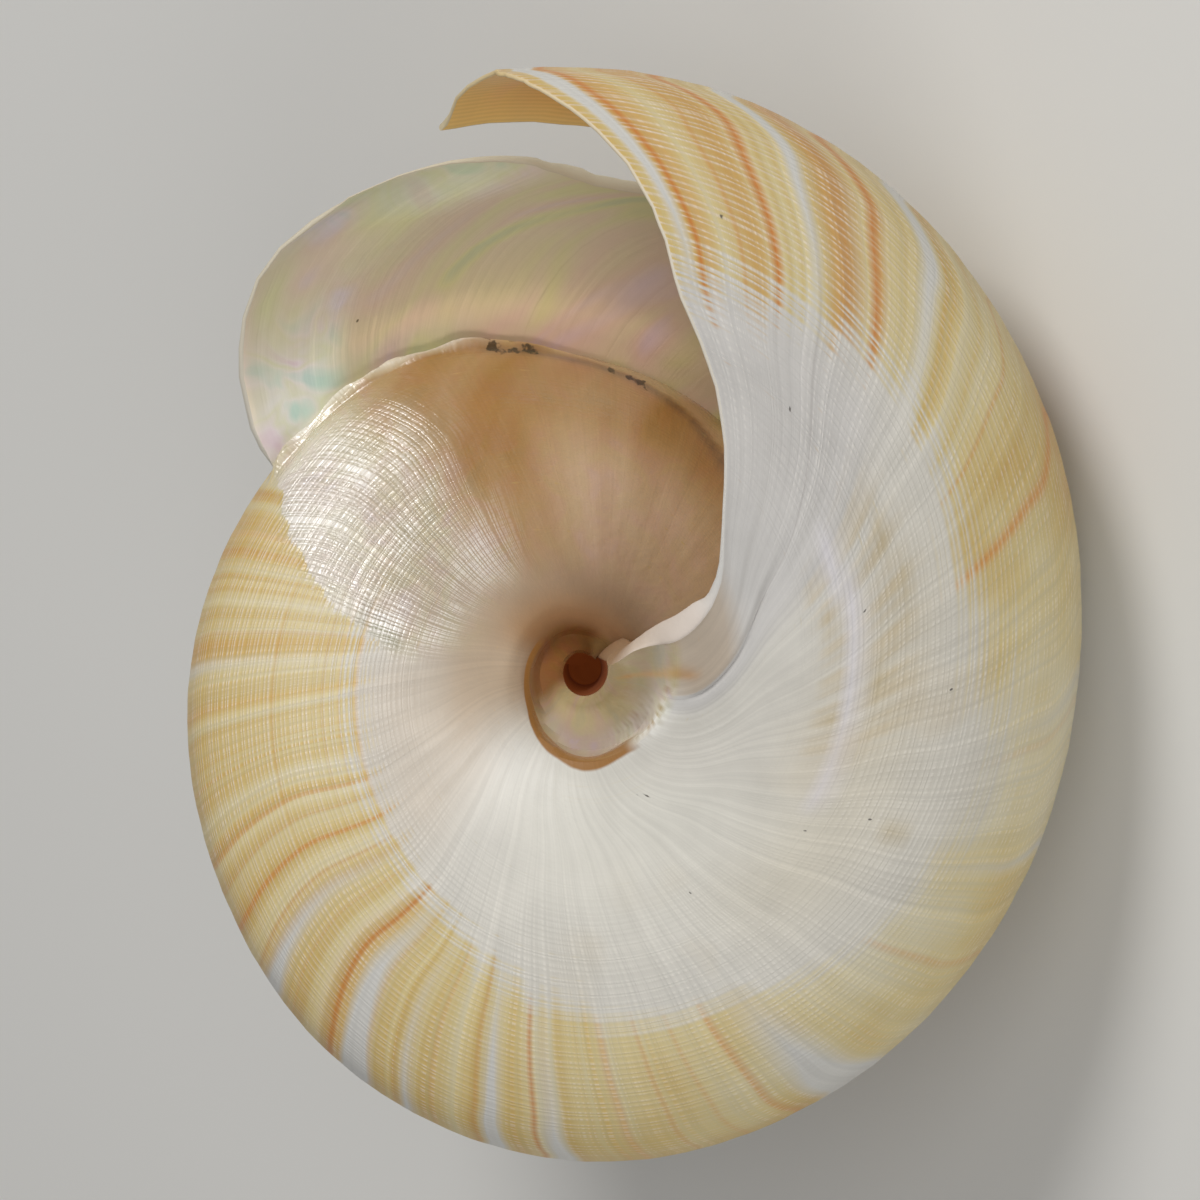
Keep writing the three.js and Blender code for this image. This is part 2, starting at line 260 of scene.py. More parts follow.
def inner_point(growth, place):
    suture = outer_point(growth - 360.0 + SUTURE_TURN, INNER_SUTURE)
    foot = outer_point(growth - 360.0 + COLUMELLA_TURN, PIT_RIM)
    near_suture = 1.0 - soft_step(place / SPIRE_BLEND)
    whorl = behind_outside(growth, place)
    whorl = whorl + near_suture[..., None] * (suture - behind_outside(growth, 0.0 * place))
    near_foot = soft_step((place - PILLAR_FROM) / (SECTION_END - PILLAR_FROM))
    pillar = pillar_point(growth, place)
    pillar = pillar + near_foot[..., None] * (foot - pillar_point(growth, SECTION_END + 0.0 * place))
    return np.where((place > PILLAR_FROM)[..., None], pillar, whorl)


print("wall at the lip:", round(float(wall_thickness(LIP_ANGLE, 8.0)), 2), "mm")

# %% [markdown]
# The real surface isn't a smooth formula. Low ripples show where growth was slow, folds gather round
# the pit, the slit's old course is left as a sunken band with a fine ridge along each side, and a thin
# glaze and a fold of pearl lie on the whorl inside the mouth. These are all heights of a fraction of a
# millimetre, so they are added along the surface's own outward direction.

# %% Low relief of the outside
GLAZE_HEIGHT = 0.12
SUTURE_FOLD_HEIGHT = 0.95


def waves(value, lengths, shifts):
    total = sum(np.sin(2.0 * np.pi * (value / length + shift)) for length, shift in zip(lengths, shifts))
    return total / len(lengths)


def bump(value, middle, half_width):
    return np.exp(-(((value - middle) / half_width) ** 2))


def growth_ripples(growth, place):
    slow = waves(growth + 0.7 * np.sin(place), (7.3, 4.1, 11.9), (0.1, 0.37, 0.7))
    size = section_size_at(growth) / SECTION_SIZE
    return 0.07 * slow * size * soft_step(place / 2.0) * soft_step((21.5 - place) / 8.0)


def pit_folds(growth, place):
    folds = waves(growth, (9.0, 5.7, 14.0), (0.25, 0.6, 0.05))
    smoother = 1.0 - 0.6 * bump(growth, 335.0, 42.0)
    return 0.05 * folds * smoother * bump(place, 18.2, 2.3) * soft_step((growth - 150.0) / 80.0)


def slit_band(growth, place):
    size = section_size_at(growth) / SECTION_SIZE
    sunk = soft_step((place - 4.0) / 0.3) * soft_step((6.0 - place) / 0.3)
    ridges = bump(place, 3.95, 0.16) + bump(place, 6.05, 0.16)
    return size * (0.32 * ridges - 0.3 * sunk)


def glaze_edge(place):
    return through_values([149.0, 152.0, 158.0, 165.0, 172.0, 181.0, 190.0], (place - 9.9) / 1.38)


def glaze(growth, place):
    over_base = soft_step((place - 8.6) / 0.6) * soft_step((19.0 - place) / 2.0)
    before_hollow_ends = soft_step((growth + 250.0) / 30.0)
    return GLAZE_HEIGHT * soft_step((glaze_edge(place) - growth) / 2.5) * over_base * before_hollow_ends


def suture_fold(growth, place):
    start = LIP_ANGLE - 360.0 + SUTURE_TURN
    along = soft_step((start + 4.0 - growth) / 6.0) * soft_step((growth - start + 62.0) / 22.0)
    crumple = 1.0 + 0.4 * waves(growth, (11.0, 19.0), (0.2, 0.5))
    ridge = 9.62 + 0.1 * waves(growth, (17.0, 9.0), (0.6, 0.1))
    return SUTURE_FOLD_HEIGHT * along * crumple * bump(place, ridge, 0.19)


def past_pit_rim(growth, place):
    turned_so_far = angle_on(growth, place) - 150.0
    return place - through_values([22.3, 22.2, 22.0, 21.5, 21.1, 21.3, 21.0, 20.8], turned_so_far / 30.0)


def pit_shelf(growth, place):
    size = section_size_at(growth) / SECTION_SIZE
    past_rim = past_pit_rim(growth, place)
    rim = 0.45 * bump(past_rim, -0.15, 0.4)
    step = -0.95 * bump(past_rim, 0.85, 0.5)
    shelf = 0.7 * bump(place, 23.9, 0.8) * soft_step((growth - 68.0) / 24.0)
    fading = soft_step((425.0 - growth) / 50.0)
    return size * ((rim + step) * fading + shelf)


def past_old_lip(growth, place):
    return growth - through_values([435.0, 435.6, 436.2, 436.0, 435.6, 435.2, 433.4, 432.3, 430.6, 430.0], place - 11.0)


def pit_crease(growth, place):
    across = bump(past_old_lip(growth, place), 0.0, 1.7)
    return -0.3 * across * soft_step((place - 17.0) / 1.0) * soft_step((20.6 - place) / 0.8)


def pit_width(growth, place):
    wider = 0.5 + 0.4 * soft_step((320.0 - growth) / 220.0)
    return -wider * soft_step((place - 24.3) / 0.7)


def lip_flare(growth, place):
    flared = 1.7 * bump(place, 3.4, 1.1) * soft_step(1.0 - (LIP_ANGLE - growth) / 20.0)
    turned_in = 0.8 * bump(place, 8.5, 1.6) * soft_step(1.0 - (LIP_ANGLE - growth) / 26.0)
    return flared - turned_in


def relief(growth, place):
    low = growth_ripples(growth, place) + pit_folds(growth, place) + slit_band(growth, place)
    low = low + glaze(growth, place) + suture_fold(growth, place)
    return low + pit_shelf(growth, place) + pit_crease(growth, place) + pit_width(growth, place)


print("relief on the base in mm:", np.round(relief(np.array([300.0, 303.0]), np.array([14.0, 18.0])), 3))

# %% [markdown]
# Now the net itself. A row is one growth line and a column is one place of the section. Columns are
# closer together where the shell bends most or where a fine ridge runs. The rows that the eye can't
# reach, deep in the hollow, are left out.

# %% Rows and columns of the net
ROWS_PER_TURN = 240
STEP = 360.0 / ROWS_PER_TURN
LAST_ROW = 1546
SUTURE_ROWS = round((360.0 - SUTURE_TURN) / STEP)
COLUMELLA_ROWS = round((360.0 - COLUMELLA_TURN) / STEP)
HOLLOW_ROW = LAST_ROW - 267
PIT_ROW = LAST_ROW - 192
SLIT_ROW = LAST_ROW - 32
EDGE_PARTS = 12
SPIRE_PLACES = [0, 0.4, 0.8, 1.2, 1.6, 2, 2.4, 2.8, 3.15, 3.5, 3.75, 3.9, 4, 4.12, 4.35, 5, 5.65, 5.88]
SPIRE_PLACES += [6, 6.12, 6.35, 6.8, 7.2, 7.6]
STRIP_PLACES = np.linspace(WIDEST, INNER_SUTURE, EDGE_PARTS + 1)[:-1]
FOLD_PLACES = np.linspace(INNER_SUTURE, 10.4, 12)[:-1]
BASE_PLACES = np.linspace(10.4, PIT_RIM, 40)[:-1]
RAMP_PLACES = np.linspace(PIT_RIM, PIT_EDGE, EDGE_PARTS + 1)[:-1]
PIT_PLACES = np.linspace(PIT_EDGE, SECTION_END, 7)
PLACES = np.concatenate([SPIRE_PLACES, STRIP_PLACES, FOLD_PLACES, BASE_PLACES, RAMP_PLACES, PIT_PLACES])
COLUMN = {place: int(np.argmin(abs(PLACES - place))) for place in (4, 6, 8, 9, 21, 25, 28)}
GROWTHS = LIP_ANGLE - (LAST_ROW - np.arange(LAST_ROW + 1)) * STEP
print(len(GROWTHS), "rows of", len(PLACES), "places")

# %% [markdown]
# The lip isn't cut straight: it runs out a little above the slit and at the hook, it has small nicks,
# and the slit's upper edge swells before the slit ends in a round. All this comes from shifting the
# nearest rows and columns a little, so the net stays whole.

# %% Uneven lip and round slit end
LIP_OUTLINE = [0.0, 0.0, 0.6, 2.0, 1.3, 0.6, 0.6, 1.4, -0.8, -0.9, 1.4, 3.0, 1.5, 0.8, 0.6, 0.8, 0.4, 0.0, 0.0]
LIP_OUTLINE += [3.0, 8.0, 9.5, 9.5, 9.0, 7.0, 3.0, 0.0, 0.0, 0.0]
OUTLINE_ROWS = 9.0
INNER_LEAD_FROM = 18
INNER_LEAD = [0.0, 2.0, 9.0, 10.0, 7.0, 1.0, -3.0, -3.0, 0.0, 0.0, 0.0]
LIP_NICK = 0.28
NICK_ROWS = 3.0
SLIT_END_RADIUS = 3.6
SLIT_END_ROWS = 11.0
SLIT_TOP_SWELL = [-0.1, -0.3, -0.25, 0.15, 0.55, 0.65, 0.4]
SLIT_NICK = 0.035


def slit_end_shift(rows, places):
    from_middle = abs(places - 5.0)
    within = 1.0 - np.sqrt(np.clip(1.0 - from_middle**2, 0.0, 1.0))
    beyond = soft_step(np.clip(2.0 - from_middle, 0.0, 1.0))
    rounded = np.where(from_middle <= 1.0, within, beyond)
    return SLIT_END_RADIUS * rounded * soft_step(1.0 - abs(rows - SLIT_ROW) / SLIT_END_ROWS)


def growth_shift(rows, places):
    outline = through_values(LIP_OUTLINE, places) * soft_step(1.0 - (LAST_ROW - rows) / OUTLINE_ROWS)
    nicks = waves(places + 0.0 * rows, (1.9, 0.83, 0.47, 3.1), (0.0, 0.3, 0.55, 0.8))
    near_lip = soft_step(1.0 - (LAST_ROW - rows) / NICK_ROWS)
    return outline + LIP_NICK * nicks * near_lip + slit_end_shift(rows, places)


def inner_lead(rows, places):
    lead = through_values(INNER_LEAD, places - INNER_LEAD_FROM) * (places > INNER_LEAD_FROM)
    return lead * soft_step(1.0 - (LAST_ROW - rows) / OUTLINE_ROWS)


def place_shift(rows, places):
    along_slit = (rows - SLIT_ROW) / (LAST_ROW - SLIT_ROW)
    swell = through_values(SLIT_TOP_SWELL, along_slit * (len(SLIT_TOP_SWELL) - 1))
    swell = swell * soft_step(1.0 + 4.0 * along_slit)
    above = soft_step((places - 2.0) / 2.0) * (places <= SLIT_TOP)
    inside_slit = (places > SLIT_TOP) * np.clip((SLIT_BOTTOM - places) / 2.0, 0.0, 1.0)
    nicks = waves(rows + 0.0 * places, (7.1, 3.3, 11.0), (0.2, 0.6, 0.9)) * (along_slit > 0.0)
    below = soft_step((8.0 - places) / 2.0) * (places >= SLIT_BOTTOM)
    return swell * (above + inside_slit) + SLIT_NICK * nicks * (above + below)


def grid_of(rows):
    across = rows[:, None]
    places = PLACES[None, :] + place_shift(across, PLACES[None, :])
    growths = GROWTHS[rows][:, None] + growth_shift(across, PLACES[None, :])
    return growths, places


def raised(points, growth, place, height):
    return points + height[..., None] * outward_at(growth, place)


outside_growth, outside_place = grid_of(np.arange(LAST_ROW + 1))
outside_height = relief(outside_growth, outside_place) + lip_flare(outside_growth, outside_place)
outside = outer_point(outside_growth, outside_place)
outside = raised(outside, outside_growth, outside_place, outside_height)
inside_rows = np.arange(HOLLOW_ROW, LAST_ROW + 1)
inside_growth, inside_place = grid_of(inside_rows)
inside_growth = inside_growth + inner_lead(inside_rows[:, None], inside_place)
inside_height = lip_flare(inside_growth, inside_place)
inside = raised(inner_point(inside_growth, inside_place), inside_growth, inside_place, inside_height)
print("outside net", outside.shape, "inside net", inside.shape)

# %% [markdown]
# Where a whorl leans on the one before, both share the same points, so the shell is one closed skin.
# Each point gets a number the first time that it is used: first the outside, then the inside.

# %% Number the points
NOT_USED = -1
base_columns = np.arange(COLUMN[9], COLUMN[21] + 1)
suture_to_columella = COLUMELLA_ROWS - SUTURE_ROWS
base_share = (base_columns - COLUMN[9]) / (COLUMN[21] - COLUMN[9])
base_starts = HOLLOW_ROW - SUTURE_ROWS - np.round(base_share * suture_to_columella).astype(int)
BASE_START = dict(zip(base_columns.tolist(), base_starts.tolist()))

used = np.zeros(outside.shape[:2], bool)
used[:, 1 : COLUMN[8] + 1] = True
used[LAST_ROW - SUTURE_ROWS :, COLUMN[8] : COLUMN[9]] = True
for column, start in BASE_START.items():
    used[start:, column] = True
used[LAST_ROW - COLUMELLA_ROWS :, COLUMN[21] : COLUMN[25]] = True
used[PIT_ROW - COLUMELLA_ROWS :, COLUMN[25]] = True
used[PIT_ROW:, COLUMN[25] : COLUMN[28]] = True
used[SLIT_ROW + 1 :, COLUMN[4] + 1 : COLUMN[6]] = False

APEX = 0
outer_id = np.full(used.shape, NOT_USED)
outer_id[used] = APEX + 1 + np.arange(used.sum())
outer_id[:SUTURE_ROWS, 0] = APEX
outer_id[SUTURE_ROWS:, 0] = outer_id[:-SUTURE_ROWS, COLUMN[8]]
outer_id[COLUMELLA_ROWS:, COLUMN[28]] = outer_id[:-COLUMELLA_ROWS, COLUMN[25]]

used_inside = np.ones(inside.shape[:2], bool)
used_inside[:, [0, COLUMN[28]]] = False
used_inside[SLIT_ROW + 1 - HOLLOW_ROW :, COLUMN[4] + 1 : COLUMN[6]] = False
inner_id = np.full(used_inside.shape, NOT_USED)
inner_id[used_inside] = outer_id.max() + 1 + np.arange(used_inside.sum())
inner_id[:, 0] = outer_id[inside_rows - SUTURE_ROWS, COLUMN[9]]
inner_id[:, -1] = outer_id[inside_rows - COLUMELLA_ROWS, COLUMN[21]]

APEX_HEIGHT = 0.3
points = [np.array([[0.0, 0.0, APEX_HEIGHT]]), outside[used], inside[used_inside]]
point_count = inner_id.max() + 1
print(point_count, "points so far")

# %% [markdown]
# The rim runs from the suture along the upper lip, into the slit and out again, and along the lower lip
# into the pit. Its broken edge is a half round from the outside to the inside. At both ends it meets
# the whorl before, whose own columns take it up.

# %% The rounded rim
RIM_ROUNDNESS = 0.9
RIM_BULGE_MOST = 0.4


def rim_path():
    upper = [(LAST_ROW, column) for column in range(0, COLUMN[4])]
    slit_upper = [(row, COLUMN[4]) for row in range(LAST_ROW, SLIT_ROW, -1)]
    slit_end = [(SLIT_ROW, column) for column in range(COLUMN[4], COLUMN[6])]
    slit_lower = [(row, COLUMN[6]) for row in range(SLIT_ROW, LAST_ROW)]
    lower = [(LAST_ROW, column) for column in range(COLUMN[6], COLUMN[28] + 1)]
    return np.array(upper + slit_upper + slit_end + slit_lower + lower)


path = rim_path()
rim_outer = outer_id[path[:, 0], path[:, 1]]
rim_inner = inner_id[path[:, 0] - HOLLOW_ROW, path[:, 1]]
so_far = np.concatenate(points)
across_wall = so_far[rim_inner] - so_far[rim_outer]
middle = (so_far[rim_inner] + so_far[rim_outer]) / 2.0
along_rim = np.gradient(middle, axis=0)
away = np.cross(across_wall, along_rim)
away /= np.linalg.norm(away, axis=1, keepdims=True)
half_wall = np.linalg.norm(across_wall, axis=1, keepdims=True) / 2.0
rim_id = np.empty((len(path), EDGE_PARTS + 1), int)
rim_id[:, 0] = rim_outer
rim_id[:, -1] = rim_inner
for part in range(1, EDGE_PARTS):
    angle = math.pi * part / EDGE_PARTS
    side = -math.cos(angle) * across_wall / 2.0
    bulge = math.sin(angle) * np.minimum(RIM_ROUNDNESS * half_wall, RIM_BULGE_MOST) * away
    points.append((middle + side + bulge)[1:-1])
    rim_id[1:-1, part] = point_count + np.arange(len(path) - 2)
    point_count += len(path) - 2
strip_row = LAST_ROW - SUTURE_ROWS
ramp_row = LAST_ROW - COLUMELLA_ROWS
rim_id[0] = outer_id[strip_row, COLUMN[8] : COLUMN[9] + 1]
rim_id[-1] = outer_id[ramp_row, COLUMN[21] : COLUMN[25] + 1][::-1]
print("rim of", len(path), "steps")

# %% [markdown]
# The faces are the net's cells. Beside its points, each corner of a face keeps its growth angle, its
# place on the section and whether it is outside, on the broken edge or inside. A corner needs its own
# values because one point at a suture belongs to two whorls.

# %% Gather the faces
OUTSIDE, EDGE, INSIDE = 0, 1, 2
faces = []
face_growth = []
face_place = []
face_kind = []


def add_faces(ids, growth, place, kind):
    faces.append(ids.reshape(-1, 4))
    face_growth.append(np.broadcast_to(growth, ids.shape).reshape(-1, 4))
    face_place.append(np.broadcast_to(place, ids.shape).reshape(-1, 4))
    face_kind.append(np.full(faces[-1].shape[0], kind))


def cells(table):
    return np.stack([table[:-1, :-1], table[1:, :-1], table[1:, 1:], table[:-1, 1:]], axis=-1)


def add_band(table, first_row, rows, columns, kind, keep=None):
    rows = np.asarray(rows)
    picked = table[np.ix_(rows - first_row, columns)]
    growth = np.broadcast_to(GROWTHS[rows][:, None], picked.shape)
    place = np.broadcast_to(PLACES[columns][None, :], picked.shape)
    parts = [cells(picked), cells(growth), cells(place)]
    if kind == INSIDE:
        parts = [part[..., ::-1] for part in parts]
    if keep is not None:
        parts = [part[keep(rows[:-1][:, None], columns[:-1][None, :])] for part in parts]
    add_faces(*parts, kind)


def span(first, last):
    return np.arange(first, last + 1)


def not_slit(row, column):
    return ~((row >= SLIT_ROW) & (column >= COLUMN[4]) & (column < COLUMN[6]))


all_rows = span(0, LAST_ROW)
add_band(outer_id, 0, all_rows, span(0, COLUMN[8]), OUTSIDE, not_slit)
add_band(outer_id, 0, span(strip_row, LAST_ROW), span(COLUMN[8], COLUMN[9]), OUTSIDE)
for column in base_columns[:-1]:
    add_band(outer_id, 0, span(BASE_START[column], LAST_ROW), span(column, column + 1), OUTSIDE)
add_band(outer_id, 0, span(ramp_row, LAST_ROW), span(COLUMN[21], COLUMN[25]), OUTSIDE)
add_band(outer_id, 0, span(PIT_ROW, LAST_ROW), span(COLUMN[25], COLUMN[28]), OUTSIDE)
add_band(inner_id, HOLLOW_ROW, inside_rows, span(0, COLUMN[28]), INSIDE, not_slit)
print(sum(len(f) for f in faces), "cells")

# %% [markdown]
# What is left are the rim, the slanted start of the base deep in the hollow, and three small fans that
# close the tip, the end of the hollow and the end of the pit.

# %% Close the skin


def add_rim():
    growth = cells(np.broadcast_to(GROWTHS[path[:, 0]][:, None], rim_id.shape))
    place = cells(np.broadcast_to(PLACES[path[:, 1]][:, None], rim_id.shape))
    order = [1, 0, 3, 2]
    add_faces(cells(rim_id)[..., order], growth[..., order], place[..., order], EDGE)


def add_triangles(triangles, growth, place, kind):
    ids = np.asarray(triangles)
    add_faces(np.concatenate([ids, ids[:, 2:]], axis=1), growth, place, kind)


def add_base_start():
    for column in base_columns[:-1]:
        start, next_start = BASE_START[column], BASE_START[column + 1]
        rows = np.arange(next_start, start)
        corner = np.full(len(rows), outer_id[start, column])
        beside = outer_id[:, column + 1]
        if len(rows):
            add_triangles(np.stack([corner, beside[rows + 1], beside[rows]], axis=1),
                          GROWTHS[start], PLACES[column], OUTSIDE)


def add_fan(loop, towards_base, growth, place, kind):
    global point_count
    loop = np.asarray(loop)
    centre = np.concatenate(points)[loop].mean(axis=0) + [0.0, 0.0, towards_base]
    points.append(centre[None, :])
    triangles = np.stack([np.full(len(loop), point_count), loop, np.roll(loop, -1)], axis=1)
    point_count += 1
    add_triangles(triangles, growth, place, kind)


HOLLOW_END_BULGE = 9.0
first_row = outer_id[0, 1 : COLUMN[8] + 1]
tip = np.stack([np.full(len(first_row) - 1, APEX), first_row[:-1], first_row[1:]], axis=1)
add_triangles(tip, GROWTHS[0], 0.0, OUTSIDE)
add_rim()
add_base_start()
hollow_start = [outer_id[BASE_START[column], column] for column in base_columns[1:-1].tolist()]
hollow_loop = np.concatenate([inner_id[0, ::-1], hollow_start])
add_fan(hollow_loop, HOLLOW_END_BULGE, GROWTHS[HOLLOW_ROW], 8.0, INSIDE)
pit_section = outer_id[PIT_ROW, COLUMN[25] : COLUMN[28]]
pit_helix = outer_id[PIT_ROW - COLUMELLA_ROWS : PIT_ROW, COLUMN[25]]
add_fan(np.concatenate([pit_section, pit_helix]), 0.0, GROWTHS[PIT_ROW], 26.0, OUTSIDE)
print(point_count, "points and", sum(len(f) for f in faces), "faces")

# %% [markdown]
# The mesh is filled in straight from the arrays, which is much quicker than adding faces one by one.
# The values at the corners become named attributes, which the materials read. "across" is the distance
# along the section in millimetres, so that a pattern can be given a real spacing.

# %% Fill in the mesh
ids = np.concatenate(faces)
growth_at_corner = np.concatenate(face_growth)
place_at_corner = np.concatenate(face_place)
kind_of_face = np.concatenate(face_kind)
is_corner = ids != np.roll(ids, -1, axis=1)

section_places = np.linspace(0.0, SECTION_END, 561)
section_angles = np.full(len(section_places), SIZE_ANGLE)
section_line = np.stack(joined_section(section_angles, section_places), axis=1)
section_steps = np.linalg.norm(np.diff(section_line, axis=0), axis=1)
section_length = np.concatenate([[0.0], np.cumsum(section_steps)])


SHARPER_THAN = 38.0


def make_mesh(name, places, corner_points, corners_of_face):
    mesh = bpy.data.meshes.new(name)
    mesh.vertices.add(len(places))
    mesh.vertices.foreach_set("co", places.astype(np.float32).ravel())
    mesh.loops.add(len(corner_points))
    mesh.loops.foreach_set("vertex_index", corner_points.astype(np.int32))
    mesh.polygons.add(len(corners_of_face))
    first_corners = np.cumsum(corners_of_face) - corners_of_face
    mesh.polygons.foreach_set("loop_start", first_corners.astype(np.int32))
    mesh.update(calc_edges=True)
    mesh.validate()
    mesh.shade_smooth()
    mesh.set_sharp_from_angle(angle=math.radians(SHARPER_THAN))
    return mesh


def add_corner_values(mesh, name, values):
    attribute = mesh.attributes.new(name, "FLOAT", "CORNER")
    attribute.data.foreach_set("value", values.astype(np.float32))


MM = 0.001
shell_points = np.concatenate(points) * MM
shell_mesh = make_mesh("slit_shell", shell_points, ids[is_corner], is_corner.sum(axis=1))
add_corner_values(shell_mesh, "place", place_at_corner[is_corner])
across_at_corner = np.interp(place_at_corner[is_corner], section_places, section_length)
add_corner_values(shell_mesh, "across", across_at_corner)
print(len(shell_mesh.vertices), "points,", len(shell_mesh.polygons), "faces")

# %% [markdown]
# Loose on a table, the shell lies on its spire with the base turned up. These angles are where it comes
# to rest, and the place is where its tip then lies in the frame.

# %% Lay it down
LOW_SIDE = 12.1
BASE_TURNED_UP = 46.1
TIP_PLACE = Vector((-5.4955, 38.6308, 0.6110)) * MM

tip_up = Matrix.Rotation(math.radians(90.0 - BASE_TURNED_UP), 4, "X")
roll = Matrix.Rotation(math.radians(-90.0 - LOW_SIDE), 4, "Z")
laid_down = Matrix.Translation(TIP_PLACE) @ tip_up @ roll
shell_mesh.transform(laid_down)
shell = bpy.data.objects.new("slit_shell", shell_mesh)
bpy.context.scene.collection.objects.link(shell)
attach(shell, "root")
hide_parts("shell")
visual_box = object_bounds()
print("shell's box in mm:", [[round(v / MM, 1) for v in corner] for corner in visual_box])

# %% [markdown]
# Now the looks. Shell colour is laid down at the lip too, so it follows the same two numbers as the
# shape: growth lines are lines of equal growth, and spiral threads keep their place. Broad colour zones
# are worked out at the corners of the faces, and the fine lines are made by the nodes from the same
# numbers. A single helper adds a node: its inputs are values or other nodes' outputs.

# %% Colours and nodes


def linear(colour):
    parts = [int(colour[i : i + 2], 16) / 255.0 for i in (1, 3, 5)]
    return [p / 12.92 if p <= 0.04045 else ((p + 0.055) / 1.055) ** 2.4 for p in parts]


def add(tree, kind, inputs=None, output=0, stops=None, **settings):
    node = tree.nodes.new("ShaderNode" + kind)
    for name, value in settings.items():
        setattr(node, name, value)
    for name, value in (inputs or {}).items():
        socket = node.inputs[name]
        if isinstance(value, bpy.types.NodeSocket):
            tree.links.new(value, socket)
        elif isinstance(value, str):
            socket.default_value = (*linear(value), 1.0)
        else:
            socket.default_value = value
    for number, (position, colour) in enumerate(stops or []):
        elements = node.color_ramp.elements
        element = elements[number] if number < 2 else elements.new(position)
        element.position = position
        element.color = (*linear(colour), 1.0) if isinstance(colour, str) else (colour, colour, colour, 1.0)
    return node.outputs[output]


def blank_material(name):
    material = bpy.data.materials.new(name)
    material.use_nodes = True
    return material, material.node_tree, material.node_tree.nodes["Principled BSDF"]


print("chalk white, linear:", [round(v, 3) for v in linear("#E2DED6")])

# %% [markdown]
# The broad zones come first. The outside is chalk white over the base and stained ochre around the
# widest edge; the stain ends along a thread. Inside the mouth a thin glaze covers the whorl before:
# pearly white at its edge, paler still with a painted highlight, and amber further in. Round the pit are
# a brown rim, a pearly shelf with painted glints and painted shade in its arcs, and a red-brown hole and
# funnel darkened with painted shade. Each zone is a soft mask, so no zone ends in steps.

# %% Broad colour zones
CHALK = "#D9D4C9"
WARM_CHALK = "#D6CCB6"
BEIGE = "#C3AE94"
COOL_CHALK = "#CFCBC7"
BRIGHT_CHALK = "#E0DCD0"
PEARL = "#CBBAA8"
SHADY_GLAZE = "#85897A"
AMBER = "#9D7239"
ROSY = "#E6CBB6"
PIT_BROWN = "#B88E62"
# the wall's brown with painted shade of the deep funnel
FUNNEL_SHADE_BROWN = "#7A5231"
RIM_BROWN = "#9F7039"
SHELF = "#B39F82"
# pale pearl fold, with a painted highlight
PALE_FOLD_HIGHLIGHT = "#EFE7DA"
SEAM = "#7B4A20"
SEAM_CORE = "#573520"
SEAM_HALO = "#A2672E"
# pale glaze near its edge, with a painted highlight
PALE_PEARL_HIGHLIGHT = "#EFE5DC"
LILAC_SHELF = "#A99C9C"
# painted highlight: white glints on the pit shelf
NACRE_GLINT_WHITE = "#FDFBF4"
# painted shade under the shelf's ledges
SHELF_ARC_SHADE = "#8C7A5A"
PALE_ARC = "#E6E1E6"
TAN_ARC = "#CBB68C"
OLD_STAIN = "#B59C58"
STAIN_SPOTS = [(376.5, 16.45, 2.2, 0.12, 0.5), (345.0, 14.35, 2.4, 0.16, 0.7), (381.0, 15.5, 4.0, 0.1, 0.45)]
STAIN_SPOTS += [(396.0, 15.1, 6.0, 0.12, 0.4), (409.0, 15.35, 5.0, 0.1, 0.45), (404.0, 16.55, 3.0, 0.14, 0.4)]
# painted shade at the mouth of the hole
HOLE_SHADE_BROWN = "#7A4522"
FAINT_ORANGE = "#C79A6A"
NACRE = "#DCCFB6"
NACRE_TAN = "#C9A880"
# painted shade in the groove above the fold
GROOVE_SHADE_GREY = "#8C877F"
# painted highlight on the nacre low near the lip
PALE_NACRE_HIGHLIGHT = "#DDE0D8"
HOOK_CREAM = "#E0AC58"
HOOK_ORANGE = "#CE7A26"
LIP_CREAM = "#DED6C6"
LINE_BOW_FROM = 9.0
LINE_BOW = [0.8, 0.8, 0.5, -0.4, -1.1, -0.8, 1.6, 4.5, 4.5, 3.5, 2.0, 0.5, 0.0]
STAIN_EDGE_FROM = 150.0
GLAZE_ROW_LEAD = [9.5, 3.2, 0.0, 4.2, 9.0, 12.0]
SEAM_FROM = 48.0
SEAM_STEP = 12.0
SEAM_PLACE = [12.8, 12.1, 11.1, 10.4, 10.15, 10.0, 9.9, 9.9]
STAIN_TONE = [0.0, 0.0, 0.0, 0.03, -0.02, -0.04, -0.07, -0.14, 0.06, -0.08, 0.04, 0.1]
CREST_SHARE = [1.0, 1.0, 0.9, 0.55, 0.35, 0.3, 0.3, 0.35, 0.45, 0.75, 1.0, 1.0]
STAIN_EDGE = [15.7, 15.7, 15.7, 15.4, 14.4, 14.0, 13.2, 12.4, 13.5, 13.6, 14.5, 14.9]


def between(value, start, end, soft):
    return soft_step((value - start) / soft) * soft_step((end - value) / soft)


def covered(under, colour, share):
    return mix(under, np.array(linear(colour)), share[:, None])


def glaze_cover(growth, place):
    ragged = 0.9 * waves(place, (0.9, 0.37, 2.3), (0.1, 0.4, 0.8))
    edge = glaze_edge(np.minimum(place, 16.6)) + ragged
    over_base = soft_step((place - 8.7) / 0.3) * soft_step((20.0 - place) / 3.0)
    softness = 3.0 + 16.0 * soft_step((place - 15.8) / 2.0)
    return soft_step((edge - growth) / softness + 0.5) * over_base


def line_bow(growth, place):
    return through_values(LINE_BOW, place - LINE_BOW_FROM) * between(growth, 188.0, 262.0, 22.0)


def stain_at(growth, place):
    edge = through_values(STAIN_EDGE, (growth - STAIN_EDGE_FROM) / 30.0)
    softness = mix(1.7, 3.4, between(growth, 330.0, 412.0, 25.0))
    return np.clip(0.5 + (edge - place) / softness, 0.0, 4.0)


